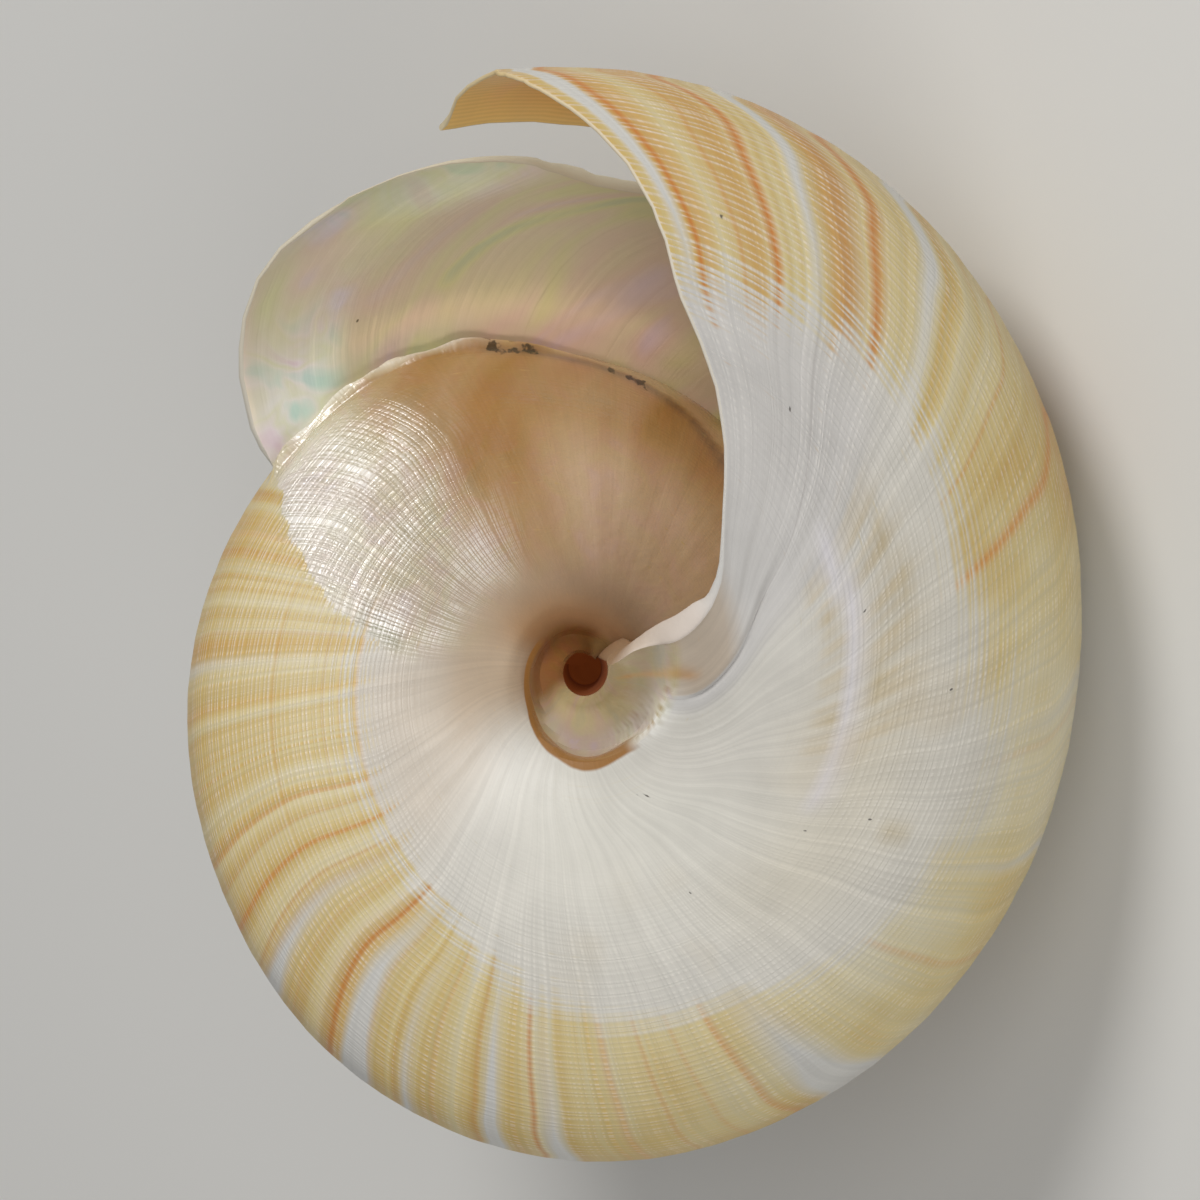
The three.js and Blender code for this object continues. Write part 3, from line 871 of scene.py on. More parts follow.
def outside_ground(growth, place, glaze):
    angle = angle_on(growth, place)
    pit_side = soft_step((place - 19.5) / 1.5)
    colour = np.tile(linear(CHALK), (len(place), 1))
    colour = covered(colour, WARM_CHALK, 0.6 * soft_step((14.5 - place) / 3.0))
    colour = covered(colour, WARM_CHALK, 0.8 * bump(place, 15.6, 1.3) * between(growth, 300.0, 415.0, 30.0))
    colour = covered(colour, COOL_CHALK, 0.8 * soft_step((place - 13.5) / 1.5) * soft_step((growth - 412.0) / 15.0))
    colour = covered(colour, BRIGHT_CHALK, 0.9 * bump(place, 18.6, 2.6) * between(growth, 235.0, 375.0, 45.0))
    colour = covered(colour, BEIGE, 0.95 * soft_step((place - 17.0) / 2.0) * soft_step((248.0 - growth) / 45.0))
    arc = 16.05 + 0.35 * soft_step((growth - 398.0) / 24.0)
    beside_arc = np.maximum(bump(place, arc + 0.45, 0.22), 0.9 * bump(place, arc - 0.7, 0.5))
    patchy = np.clip(0.5 + 0.9 * waves(growth, (9.7, 4.3), (0.2, 0.6)), 0.0, 1.0)
    colour = covered(colour, TAN_ARC, 0.68 * beside_arc * patchy * between(growth, 358.0, 428.0, 14.0))
    colour = covered(colour, PALE_ARC, 0.75 * bump(place, arc, 0.2) * between(growth, 345.0, 430.0, 10.0))
    for spot_growth, spot_place, half_growth, half_place, share in STAIN_SPOTS:
        spot = share * bump(growth, spot_growth, half_growth) * bump(place, spot_place, half_place)
        colour = covered(colour, OLD_STAIN, spot)
    colour = covered(colour, BEIGE, 0.5 * bump(place, 17.0, 1.5) * between(growth, 170.0, 245.0, 22.0))
    near_lip = soft_step((place - 18.4) / 0.8) * soft_step((growth - 431.5) / 2.5)
    colour = covered(colour, BEIGE, 0.8 * near_lip)
    amber = glaze * soft_step((142.0 - growth) / 22.0)
    colour = covered(colour, PEARL, glaze * 0.8)
    # The glaze is paler near its edge, and this lighter band is also a painted highlight of its gloss.
    beside_edge = soft_step((growth - glaze_edge(np.minimum(place, 16.6)) + 26.0) / 20.0)
    colour = covered(colour, PALE_PEARL_HIGHLIGHT, 0.75 * glaze * beside_edge * between(place, 9.9, 15.8, 1.0))
    colour = covered(colour, AMBER, amber)
    edge = glaze_edge(np.minimum(place, 16.6))
    grey = glaze * between(growth, edge - 8.0, edge + 2.0, 3.0) * between(place, 15.2, 17.0, 0.5)
    colour = covered(colour, SHADY_GLAZE, 0.7 * grey)
    colour = covered(colour, ROSY, 0.85 * amber * soft_step((place - 12.5) / 3.0) * soft_step((112.0 - growth) / 20.0))
    colour = covered(colour, ROSY, 0.35 * amber * soft_step((place - 14.0) / 4.0))
    mouth_side = between(angle, 5.0, 172.0, 30.0)
    colour = covered(colour, PIT_BROWN, 0.9 * mouth_side * soft_step((place - 18.3) / 3.5))
    # Darker brown above and left of the hole: the wall's brown with painted shade of the deep funnel.
    funnel = between(angle, 40.0, 245.0, 45.0) * soft_step((place - 21.2) / 1.6)
    past_rim = past_pit_rim(growth, place)
    colour = covered(colour, SHELF, pit_side * (1.0 - mouth_side) * soft_step(past_rim / 0.4))
    on_shelf = pit_side * (1.0 - mouth_side)
    colour = covered(colour, LILAC_SHELF, 0.7 * on_shelf * bump(past_rim, 1.0, 0.5))
    # Painted shade: darker arcs under the shelf's ledges round the hole.
    arc_shades = np.clip(bump(place, 23.75, 0.28) + 0.7 * bump(place, 22.9, 0.35) * soft_step((angle - 285.0) / 25.0), 0.0, 1.0)
    colour = covered(colour, SHELF_ARC_SHADE, 0.55 * on_shelf * arc_shades * bump(angle, 275.0, 70.0))
    # Painted highlight: white glints on the lower right of the pit shelf, where a lamp's reflection falls on wrinkled
    # nacre.
    glint_flakes = 0.6 + 1.5 * waves(growth, (19.0, 8.3), (0.3, 0.7)) * waves(place, (1.7, 0.73), (0.1, 0.5))
    glint_side = bump(angle, 323.0, 25.0) * bump(past_rim, 0.35, 0.65)
    colour = covered(colour, NACRE_GLINT_WHITE, glint_side * np.clip(glint_flakes, 0.0, 1.0))
    colour = covered(colour, FUNNEL_SHADE_BROWN, funnel)
    orange_line = bump(angle, 358.5, 2.6) * between(place, 19.8, 24.0, 0.7) * soft_step((growth - 420.0) / 10.0)
    colour = covered(colour, FAINT_ORANGE, 0.8 * orange_line)
    # Painted shade: dark red-brown at the mouth of the hole, which makes its dark opening wider.
    hole = soft_step((place - 24.35) / 0.7)
    colour = covered(colour, HOLE_SHADE_BROWN, hole)
    past_seam = place - through_values(SEAM_PLACE, (growth - SEAM_FROM) / SEAM_STEP)
    inner_part = soft_step((112.0 - growth) / 8.0)
    colour = covered(colour, NACRE_TAN, inner_part * soft_step((-0.3 - past_seam) / 0.2))
    uneven = np.clip(0.95 + 0.4 * waves(growth, (7.0, 3.1), (0.0, 0.4)), 0.0, 1.0)
    colour = covered(colour, SEAM_HALO, 0.6 * inner_part * uneven * bump(past_seam, 0.5, 0.9))
    colour = covered(colour, SEAM_CORE, inner_part * uneven * bump(past_seam, 0.0, 0.35))
    # The pearl fold along the suture is pale, and painted brighter as its highlight.
    return covered(colour, PALE_FOLD_HIGHLIGHT, (1.0 - inner_part) * soft_step((9.85 - place) / 0.2) * soft_step((145.0 - growth) / 4.0))


def inside_ground(growth, place):
    colour = np.tile(linear(NACRE), (len(place), 1))
    colour = covered(colour, NACRE_TAN, 0.8 * soft_step((2.6 - place) / 2.0))
    near_lip = soft_step((growth - 452.0) / 5.0)
    # Painted highlight: paler nacre low near the lip.
    colour = covered(colour, PALE_NACRE_HIGHLIGHT, 0.8 * soft_step((1.8 - place) / 1.2) * soft_step((growth - 440.0) / 8.0))
    colour = covered(colour, LIP_CREAM, 0.7 * near_lip * soft_step((4.5 - place) / 1.0))
    hook = soft_step((place - 5.0) / 0.8)
    colour = covered(colour, HOOK_CREAM, 0.9 * hook)
    colour = covered(colour, HOOK_ORANGE, 0.75 * hook * bump(growth, 447.0, 9.0) * bump(place, 7.2, 0.9))
    colour = covered(colour, PEARL, 0.8 * soft_step((place - 17.0) / 2.0))
    seam = soft_step((0.62 - place) / 0.3)
    # Painted shade: grey in the groove above the fold near the lip.
    colour = covered(colour, GROOVE_SHADE_GREY, 0.9 * seam * soft_step((growth - 418.0) / 8.0))
    return covered(colour, SEAM, 0.8 * seam * soft_step((426.0 - growth) / 8.0))


# Painted highlights on the mother of pearl, in pearly tints: a bright patch low near the lip and a weaker one along the
# upper rim.
def iridescent_highlight_at(growth, place):
    low = soft_step((2.6 - place) / 1.8) * between(growth, 440.0, 464.0, 7.0)
    rim = 0.5 * between(place, 2.8, 4.4, 0.5) * between(growth, 432.0, 470.0, 8.0)
    return np.maximum(low, rim)


# Painted light: a faint glow of the surface's own colour, round the pit's funnel and inside the hook, stands for light
# that seeps through the thin wall.
def glow_at(growth, place, kind):
    angle = angle_on(growth, place)
    funnel = between(angle, 20.0, 215.0, 50.0) * soft_step((place - 19.0) / 3.0)
    hook = soft_step((place - 5.0) / 0.8) * soft_step((12.0 - place) / 3.0)
    return np.where(kind == OUTSIDE, 0.19 * funnel, np.where(kind == INSIDE, 0.1 * hook, 0.0))


corner_growth = growth_at_corner[is_corner]
corner_place = place_at_corner[is_corner]
corner_kind = np.repeat(kind_of_face, is_corner.sum(axis=1))
bowed_growth = corner_growth - line_bow(corner_growth, corner_place) * (corner_kind == OUTSIDE)
add_corner_values(shell_mesh, "growth", bowed_growth)
corner_glaze = glaze_cover(corner_growth, corner_place) * (corner_kind == OUTSIDE)
corner_ground = outside_ground(corner_growth, corner_place, corner_glaze)
is_inside = corner_kind == INSIDE
corner_ground[is_inside] = inside_ground(corner_growth[is_inside], corner_place[is_inside])
stain = stain_at(corner_growth, corner_place) * (1.0 - corner_glaze)
corner_angle = angle_on(corner_growth, corner_place)
past_rim = past_pit_rim(corner_growth, corner_place)
rim_width = mix(0.2, 0.42, soft_step((corner_angle - 190.0) / 60.0))
rim_reach = between(corner_angle, 140.0, 312.0, 14.0)
in_pit = soft_step((corner_place - 20.2) / 0.6) * soft_step(past_rim / 0.3 + 0.5)
polish = np.maximum(corner_glaze, in_pit)
add_corner_values(shell_mesh, "past_rim", past_rim / rim_width)
add_corner_values(shell_mesh, "rim_reach", rim_reach)
add_corner_values(shell_mesh, "polish", polish)
threaded = soft_step((18.3 - corner_place) / 3.2) * mix(1.0, 0.2, corner_glaze * soft_step((140.0 - corner_growth) / 15.0))
amber = corner_glaze * soft_step((136.0 - corner_growth) / 16.0)
beaded = corner_glaze * soft_step((corner_growth - 114.0) / 34.0) * between(corner_place, 9.9, 20.0, 2.5)
tone_shift = through_values(STAIN_TONE, (corner_growth - STAIN_EDGE_FROM) / 30.0)
add_corner_values(shell_mesh, "stain", stain)
add_corner_values(shell_mesh, "iridescent_highlight", iridescent_highlight_at(corner_growth, corner_place) * is_inside)
add_corner_values(shell_mesh, "past_old_lip", past_old_lip(corner_growth, corner_place))
blotchy = between(corner_growth, 262.0, 418.0, 30.0)
add_corner_values(shell_mesh, "blotchy", blotchy)
glaze_row = corner_growth - through_values(GLAZE_ROW_LEAD, (corner_place - 10.0) / 2.0)
add_corner_values(shell_mesh, "glaze_row", glaze_row)
add_corner_values(shell_mesh, "tone_shift", tone_shift)
crest_share = through_values(CREST_SHARE, (corner_growth - STAIN_EDGE_FROM) / 30.0)
add_corner_values(shell_mesh, "crest_share", crest_share)
add_corner_values(shell_mesh, "amber", amber)
add_corner_values(shell_mesh, "beaded", beaded)
rayed = (1.0 - polish) * (1.0 - 0.85 * between(corner_angle, 5.0, 172.0, 30.0))
add_corner_values(shell_mesh, "rayed", rayed)
add_corner_values(shell_mesh, "glow", glow_at(corner_growth, corner_place, corner_kind))
add_corner_values(shell_mesh, "threaded", threaded)
ground = shell_mesh.attributes.new("ground", "FLOAT_COLOR", "CORNER")
opaque = np.ones((len(corner_ground), 1))
ground.data.foreach_set("color", np.concatenate([corner_ground, opaque], axis=1).astype(np.float32).ravel())
print("corners:", len(corner_ground), "glazed:", round(float(corner_glaze.mean()), 3))

# %% [markdown]
# The chalky outer layer is satin, with spiral threads about 0.6 mm apart that finer growth lines cut
# into beads. They are drawn a little wider, so that they show in a picture of the whole shell. The stain
# is cream to ochre and runs in bands along the growth lines, with a few strong orange lines and white
# bands where growth paused. Where the stain ends, it stays longest in the grooves between the threads.
# The glaze over it is mother of pearl that the animal laid on later: smooth, with a clear coat, and with
# beads in rows along the growth lines. Both are one function with another thread spacing, because the
# glaze took its pattern from what lies under it. Near the pit the threads die out and pale rays remain.

# %% Chalky outer layer and its glaze
NACRE_STOPS = [(0.3, "#C3CFA2"), (0.43, "#DBDB9E"), (0.53, "#E0D3B0"), (0.63, "#E2C8B6"), (0.74, "#DDC8DC")]
THREAD_SPACING = 0.72
GROWTH_LINE_DEGREES = 0.7
GLAZE_ROW_DEGREES = 1.15
BAND_DEGREES = 4.2
RAY_DEGREES = 2.6
STAIN_STOPS = [(0.22, "#DCD2B2"), (0.42, "#D8C690"), (0.6, "#D1B46E"), (0.8, "#C99A4C"), (1.0, "#BC7634")]
CREST = "#E0CFBC"
# painted highlight on beads, and painted shade in the gaps between them
BEAD_GLINT = "#FBF4EA"
BEAD_GAP_SHADE = "#A39783"
STREAK_DARK = "#A87A42"
STREAK_PALE = "#D2B796"
THREAD_TURNS = 2.0 * math.pi / THREAD_SPACING
GLAZE_THREAD_TURNS = 0.9 * THREAD_TURNS
ORANGE = "#CE7E30"
DEEP_OCHRE = "#C58A3C"
SMUDGE = "#C4AE84"
# painted shade in the old lip's crease
CREASE_SHADE_GREY = "#ADA6A1"
SPIRAL_ORANGE = "#CE964A"
WHITE_BAND = "#D2CFC8"
ORANGE_LINES = [(159.0, 1.0, 0.3), (176.0, 0.6, 0.3), (207.8, 0.6, 0.6), (211.5, 0.4, 0.3), (216.5, 0.6, 0.8)]
ORANGE_LINES += [(222.0, 0.6, 0.4), (229.0, 0.4, 0.3), (236.0, 0.65, 1.0), (252.0, 0.5, 0.3), (258.0, 0.5, 0.4)]
ORANGE_LINES += [(266.0, 0.6, 0.9), (278.0, 0.7, 0.6), (284.0, 0.5, 0.4), (290.0, 0.5, 0.35), (296.5, 0.8, 0.7)]
ORANGE_LINES += [(325.0, 0.8, 0.4), (357.0, 0.6, 0.25), (389.5, 1.5, 0.75), (403.0, 0.6, 0.4), (426.7, 1.3, 0.9)]
ORANGE_LINES += [(443.6, 1.3, 1.0), (449.0, 0.6, 0.35), (455.3, 0.6, 1.0)]
WHITE_BANDS = [(181.0, 1.2, 0.2), (225.0, 2.2, 0.4), (240.0, 2.6, 0.75), (248.0, 1.2, 0.3), (260.2, 1.3, 0.75)]
WHITE_BANDS += [(268.5, 2.0, 0.45), (304.0, 5.0, 0.75), (340.0, 1.5, 0.4), (360.0, 2.0, 0.35), (417.5, 2.0, 0.75), (437.0, 1.4, 0.65)]
WHITE_BANDS += [(457.1, 1.2, 0.95)]
DEEP_BANDS = [(236.0, 3.5, 0.5), (426.0, 1.8, 0.6), (431.9, 4.2, 0.95), (447.0, 4.0, 0.5), (454.5, 2.5, 0.6)]
SPIRAL_LINES = [(13.55, 0.09, 0.6), (14.9, 0.07, 0.3), (15.3, 0.07, 0.4), (15.72, 0.12, 0.6)]
SPIRAL_FROM = 160.0
SPIRAL_TO = 222.0
LINES_A_RAMP = 10
DIRT = "#2E2419"
MM_PER_DEGREE = 0.95
SPECKS = [(450.2, 13.4, 0.36), (441.2, 15.6, 0.3), (400.0, 15.85, 0.24), (336.5, 19.25, 0.5), (333.0, 19.35, 0.3)]
SPECKS += [(343.0, 15.9, 0.34), (310.8, 16.55, 0.26), (347.0, 14.9, 0.25), (372.0, 14.1, 0.2)]
SPECKS += [(106.0, 9.95, 1.3), (103.0, 10.05, 1.0), (100.5, 10.05, 1.2), (85.5, 10.25, 1.0), (82.0, 10.4, 0.8)]
SPECKS += [(79.5, 10.5, 1.2)]


def add_lines(tree, growth, lines):
    total = None
    for first in range(0, len(lines), LINES_A_RAMP):
        group = lines[first : first + LINES_A_RAMP]
        start = group[0][0] - 2.0 * group[0][1]
        length = group[-1][0] + 2.0 * group[-1][1] - start
        stops = [(0.0, 0.0), (1.0, 0.0)]
        for middle, half_width, strength in group:
            for shift, value in ((-half_width, 0.0), (0.0, strength), (half_width, 0.0)):
                stops.append(((middle + shift - start) / length, value))
        along = add(tree, "MapRange", {"Value": growth, "From Min": start, "From Max": start + length})
        ramp = add(tree, "ValToRGB", {"Fac": along}, stops=stops)
        total = ramp if total is None else add(tree, "Math", {0: total, 1: ramp}, operation="MAXIMUM")
    return total


def add_specks(tree, growth, across, uneven, specks):
    spot = add(tree, "CombineXYZ", {0: growth, 1: across, 2: 0.0})
    spot = add(tree, "VectorMath", {0: spot, 1: (MM_PER_DEGREE, 1.0, 1.0)}, operation="MULTIPLY")
    total = None
    for speck_growth, speck_place, radius in specks:
        speck_across = float(np.interp(speck_place, section_places, section_length))
        centre = (speck_growth * MM_PER_DEGREE, speck_across, 0.0)
        away = add(tree, "VectorMath", {0: spot, 1: centre}, "Value", operation="DISTANCE")
        away = add(tree, "Math", {0: uneven, 1: 3.0 * radius, 2: away}, operation="MULTIPLY_ADD")
        dark = add(tree, "MapRange", {"Value": away, "From Min": 2.1 * radius, "From Max": 2.5 * radius,
                                      "To Min": 0.85, "To Max": 0.0})
        total = dark if total is None else add(tree, "Math", {0: total, 1: dark}, operation="MAXIMUM")
    return total


def add_outside(name, thread_turns, gloss):
    material, tree, shader = blank_material(name)
    growth = add(tree, "Attribute", output="Fac", attribute_name="growth")
    place = add(tree, "Attribute", output="Fac", attribute_name="place")
    across = add(tree, "Attribute", output="Fac", attribute_name="across")
    ground = add(tree, "Attribute", output="Color", attribute_name="ground")
    stain = add(tree, "Attribute", output="Fac", attribute_name="stain")
    polish = add(tree, "Attribute", output="Fac", attribute_name="polish")
    past_rim = add(tree, "Attribute", output="Fac", attribute_name="past_rim")
    rim_reach = add(tree, "Attribute", output="Fac", attribute_name="rim_reach")
    threaded = add(tree, "Attribute", output="Fac", attribute_name="threaded")
    position = add(tree, "TexCoord", output="Object")
    cloud = add(tree, "TexNoise", {"Vector": position, "Scale": 110.0, "Detail": 3.0})
    wandering = add(tree, "Math", {0: cloud, 1: 0.9, 2: growth}, operation="MULTIPLY_ADD")
    beaded = add(tree, "Attribute", output="Fac", attribute_name="beaded")
    amber = add(tree, "Attribute", output="Fac", attribute_name="amber")
    glow = add(tree, "Attribute", output="Fac", attribute_name="glow")
    tone_shift = add(tree, "Attribute", output="Fac", attribute_name="tone_shift")
    turns = add(tree, "Math", {0: across, 1: thread_turns}, operation="MULTIPLY")
    uneven = add(tree, "TexNoise", {"W": across, "Scale": 0.9, "Detail": 2.0}, noise_dimensions="1D")
    turns = add(tree, "Math", {0: uneven, 1: 9.0, 2: turns}, operation="MULTIPLY_ADD")
    wave = add(tree, "Math", {0: turns}, operation="SINE")
    thread = add(tree, "MapRange", {"Value": wave, "From Min": -1.0})
    fine = add(tree, "TexNoise", {"W": growth, "Scale": 1.0 / GROWTH_LINE_DEGREES, "Detail": 2.0},
               noise_dimensions="1D")
    bands = add(tree, "TexNoise", {"W": wandering, "Scale": 1.0 / BAND_DEGREES, "Detail": 2.5},
                noise_dimensions="1D")
    blotchy = add(tree, "Attribute", output="Fac", attribute_name="blotchy")
    blotches = add(tree, "TexNoise", {"Vector": position, "Scale": 75.0, "Detail": 2.0})
    bands = add(tree, "Mix", {0: blotchy, 2: bands, 3: blotches})
    crest_share = add(tree, "Attribute", output="Fac", attribute_name="crest_share")
    threads = add(tree, "Math", {0: thread, 1: crest_share}, operation="MULTIPLY")
    reach = add(tree, "Math", {0: threads, 1: -0.42, 2: stain}, operation="MULTIPLY_ADD")
    reach = add(tree, "Math", {0: bands, 1: 0.7, 2: reach}, operation="MULTIPLY_ADD")
    reach = add(tree, "Math", {0: uneven, 1: 0.5, 2: reach}, operation="MULTIPLY_ADD")
    stained = add(tree, "MapRange", {"Value": reach, "From Min": 0.7, "From Max": 1.2},
                  interpolation_type="SMOOTHSTEP")
    tone = add(tree, "Math", {0: fine, 1: 0.2, 2: tone_shift}, operation="MULTIPLY_ADD")
    tone = add(tree, "Math", {0: bands, 1: 0.85, 2: tone}, operation="MULTIPLY_ADD")
    tone = add(tree, "Math", {0: stain, 1: 0.05, 2: tone}, operation="MULTIPLY_ADD")
    tone = add(tree, "Math", {0: tone, 1: 0.12}, operation="SUBTRACT")
    ochre = add(tree, "ValToRGB", {"Fac": tone}, stops=STAIN_STOPS)
    marbled = add(tree, "TexNoise", {"Vector": position, "Scale": 160.0, "Detail": 3.0})
    marbled = add(tree, "MapRange", {"Value": marbled, "From Min": 0.3, "From Max": 0.7,
                                     "To Min": 0.93, "To Max": 1.05})
    colour = add(tree, "Mix", {0: 1.0, 6: ground, 7: marbled}, 2, data_type="RGBA", blend_type="MULTIPLY")
    hue = add(tree, "TexNoise", {"Vector": position, "Scale": 230.0, "Detail": 2.0, "Distortion": 1.2})
    hue = add(tree, "ValToRGB", {"Fac": hue}, stops=NACRE_STOPS)
    pearly = add(tree, "Math", {0: polish, 1: 0.5}, operation="MULTIPLY")
    colour = add(tree, "Mix", {0: pearly, 6: colour, 7: hue}, 2, data_type="RGBA", blend_type="SOFT_LIGHT")
    stretched = add(tree, "Mapping", {"Vector": position, "Scale": (24.0, 240.0, 24.0)})
    streaks = add(tree, "TexNoise", {"Vector": stretched, "Scale": 1.0, "Detail": 2.0})
    streaks = add(tree, "ValToRGB", {"Fac": streaks}, stops=[(0.35, STREAK_DARK), (0.65, STREAK_PALE)])
    streaky = add(tree, "Math", {0: amber, 1: 0.4}, operation="MULTIPLY")
    colour = add(tree, "Mix", {0: streaky, 6: colour, 7: streaks}, 2, data_type="RGBA")
    ragged = add(tree, "TexNoise", {"Vector": position, "Scale": 1200.0, "Detail": 2.0})
    row = add(tree, "Attribute", output="Fac", attribute_name="glaze_row")
    uneven_row = add(tree, "TexNoise", {"W": row, "Scale": 0.45, "Detail": 1.0}, noise_dimensions="1D")
    bent = add(tree, "Math", {0: uneven_row, 1: 3.0, 2: row}, operation="MULTIPLY_ADD")
    bent = add(tree, "Math", {0: ragged, 1: 0.45, 2: bent}, operation="MULTIPLY_ADD")
    bent = add(tree, "Math", {0: bent, 1: 2.0 * math.pi / GLAZE_ROW_DEGREES}, operation="MULTIPLY")
    lines = add(tree, "Math", {0: bent}, operation="SINE")
    lines = add(tree, "MapRange", {"Value": lines, "From Min": -0.7, "From Max": 0.5})
    between_threads = add(tree, "MapRange", {"Value": thread, "From Max": 0.35, "To Min": 0.5})
    cell = add(tree, "Math", {0: lines, 1: between_threads}, operation="MULTIPLY")
    # Painted highlight and painted shade of the glaze's gloss: bright beads in patches, and darker gaps between them.
    glint_patch = add(tree, "TexNoise", {"Vector": position, "Scale": 170.0, "Detail": 3.0})
    glint_patch = add(tree, "MapRange", {"Value": glint_patch, "From Min": 0.42, "From Max": 0.6})
    lit = add(tree, "Math", {0: cell, 1: glint_patch}, operation="MULTIPLY")
    lit = add(tree, "Math", {0: lit, 1: beaded}, operation="MULTIPLY")
    gap_shade = add(tree, "Math", {0: 1.0, 1: cell}, operation="SUBTRACT")
    gap_shade = add(tree, "Math", {0: gap_shade, 1: beaded}, operation="MULTIPLY")
    gap_shade = add(tree, "Math", {0: gap_shade, 1: 0.45}, operation="MULTIPLY")
    colour = add(tree, "Mix", {0: gap_shade, 6: colour, 7: BEAD_GAP_SHADE}, 2, data_type="RGBA")
    colour = add(tree, "Mix", {0: lit, 6: colour, 7: BEAD_GLINT}, 2, data_type="RGBA")
    from_rim = add(tree, "Math", {0: cloud, 1: 1.2, 2: past_rim}, operation="MULTIPLY_ADD")
    from_rim = add(tree, "Math", {0: from_rim, 1: 0.6}, operation="SUBTRACT")
    from_rim = add(tree, "Math", {0: from_rim}, operation="ABSOLUTE")
    rim = add(tree, "MapRange", {"Value": from_rim, "From Min": 1.15, "From Max": 0.85}, interpolation_type="SMOOTHSTEP")
    rim = add(tree, "Math", {0: rim, 1: rim_reach}, operation="MULTIPLY")
    colour = add(tree, "Mix", {0: rim, 6: colour, 7: RIM_BROWN}, 2, data_type="RGBA")
    smudge = add(tree, "MapRange", {"Value": blotches, "From Min": 0.5, "From Max": 0.66, "To Max": 0.4})
    smudge = add(tree, "Math", {0: smudge, 1: threaded}, operation="MULTIPLY")
    smudge = add(tree, "Math", {0: smudge, 1: blotchy}, operation="MULTIPLY")
    colour = add(tree, "Mix", {0: smudge, 6: colour, 7: SMUDGE}, 2, data_type="RGBA")
    deep = add_lines(tree, wandering, DEEP_BANDS)
    ochre = add(tree, "Mix", {0: deep, 6: ochre, 7: DEEP_OCHRE}, 2, data_type="RGBA")
    colour = add(tree, "Mix", {0: stained, 6: colour, 7: ochre}, 2, data_type="RGBA")
    crest = add(tree, "Math", {0: thread, 1: 3.5}, operation="POWER")
    crest = add(tree, "Math", {0: crest, 1: uneven}, operation="MULTIPLY")
    crest = add(tree, "Math", {0: crest, 1: stained}, operation="MULTIPLY")
    crest = add(tree, "Math", {0: crest, 1: crest_share}, operation="MULTIPLY")
    colour = add(tree, "Mix", {0: crest, 6: colour, 7: CREST}, 2, data_type="RGBA")
    # Painted highlight: small bright glints on the crests of the threads, in patches.
    bead_glint = add(tree, "MapRange", {"Value": fine, "From Min": 0.46, "From Max": 0.6, "To Max": 0.34})
    rayed = add(tree, "Attribute", output="Fac", attribute_name="rayed")
    bead_glint = add(tree, "Math", {0: bead_glint, 1: threaded}, operation="MULTIPLY")
    bead_glint = add(tree, "Math", {0: bead_glint, 1: rayed}, operation="MULTIPLY")
    glint_patches = add(tree, "MapRange", {"Value": cloud, "From Min": 0.38, "From Max": 0.58, "To Min": 0.25})
    bead_glint = add(tree, "Math", {0: bead_glint, 1: glint_patches}, operation="MULTIPLY")
    peak = add(tree, "Math", {0: thread, 1: 3.0}, operation="POWER")
    bead_glint = add(tree, "Math", {0: bead_glint, 1: peak}, operation="MULTIPLY")
    colour = add(tree, "Mix", {0: bead_glint, 6: colour, 7: BEAD_GLINT}, 2, data_type="RGBA")
    white = add_lines(tree, wandering, WHITE_BANDS)
    white = add(tree, "Math", {0: white, 1: stain}, operation="MULTIPLY", use_clamp=True)
    colour = add(tree, "Mix", {0: white, 6: colour, 7: WHITE_BAND}, 2, data_type="RGBA")
    orange = add_lines(tree, wandering, ORANGE_LINES)
    groove = add(tree, "MapRange", {"Value": thread, "To Min": 1.0, "To Max": 0.65})
    orange = add(tree, "Math", {0: orange, 1: groove}, operation="MULTIPLY")
    orange = add(tree, "Math", {0: orange, 1: stained}, operation="MULTIPLY")
    colour = add(tree, "Mix", {0: orange, 6: colour, 7: ORANGE}, 2, data_type="RGBA")
    spiral = add_lines(tree, place, SPIRAL_LINES)
    start = add(tree, "MapRange", {"Value": wandering, "From Min": SPIRAL_FROM, "From Max": SPIRAL_FROM + 14.0})
    end = add(tree, "MapRange", {"Value": wandering, "From Min": SPIRAL_TO, "From Max": SPIRAL_TO - 18.0})
    spiral = add(tree, "Math", {0: spiral, 1: start}, operation="MULTIPLY")
    spiral = add(tree, "Math", {0: spiral, 1: end}, operation="MULTIPLY")
    spiral = add(tree, "Math", {0: spiral, 1: bands}, operation="MULTIPLY")
    colour = add(tree, "Mix", {0: spiral, 6: colour, 7: SPIRAL_ORANGE}, 2, data_type="RGBA")
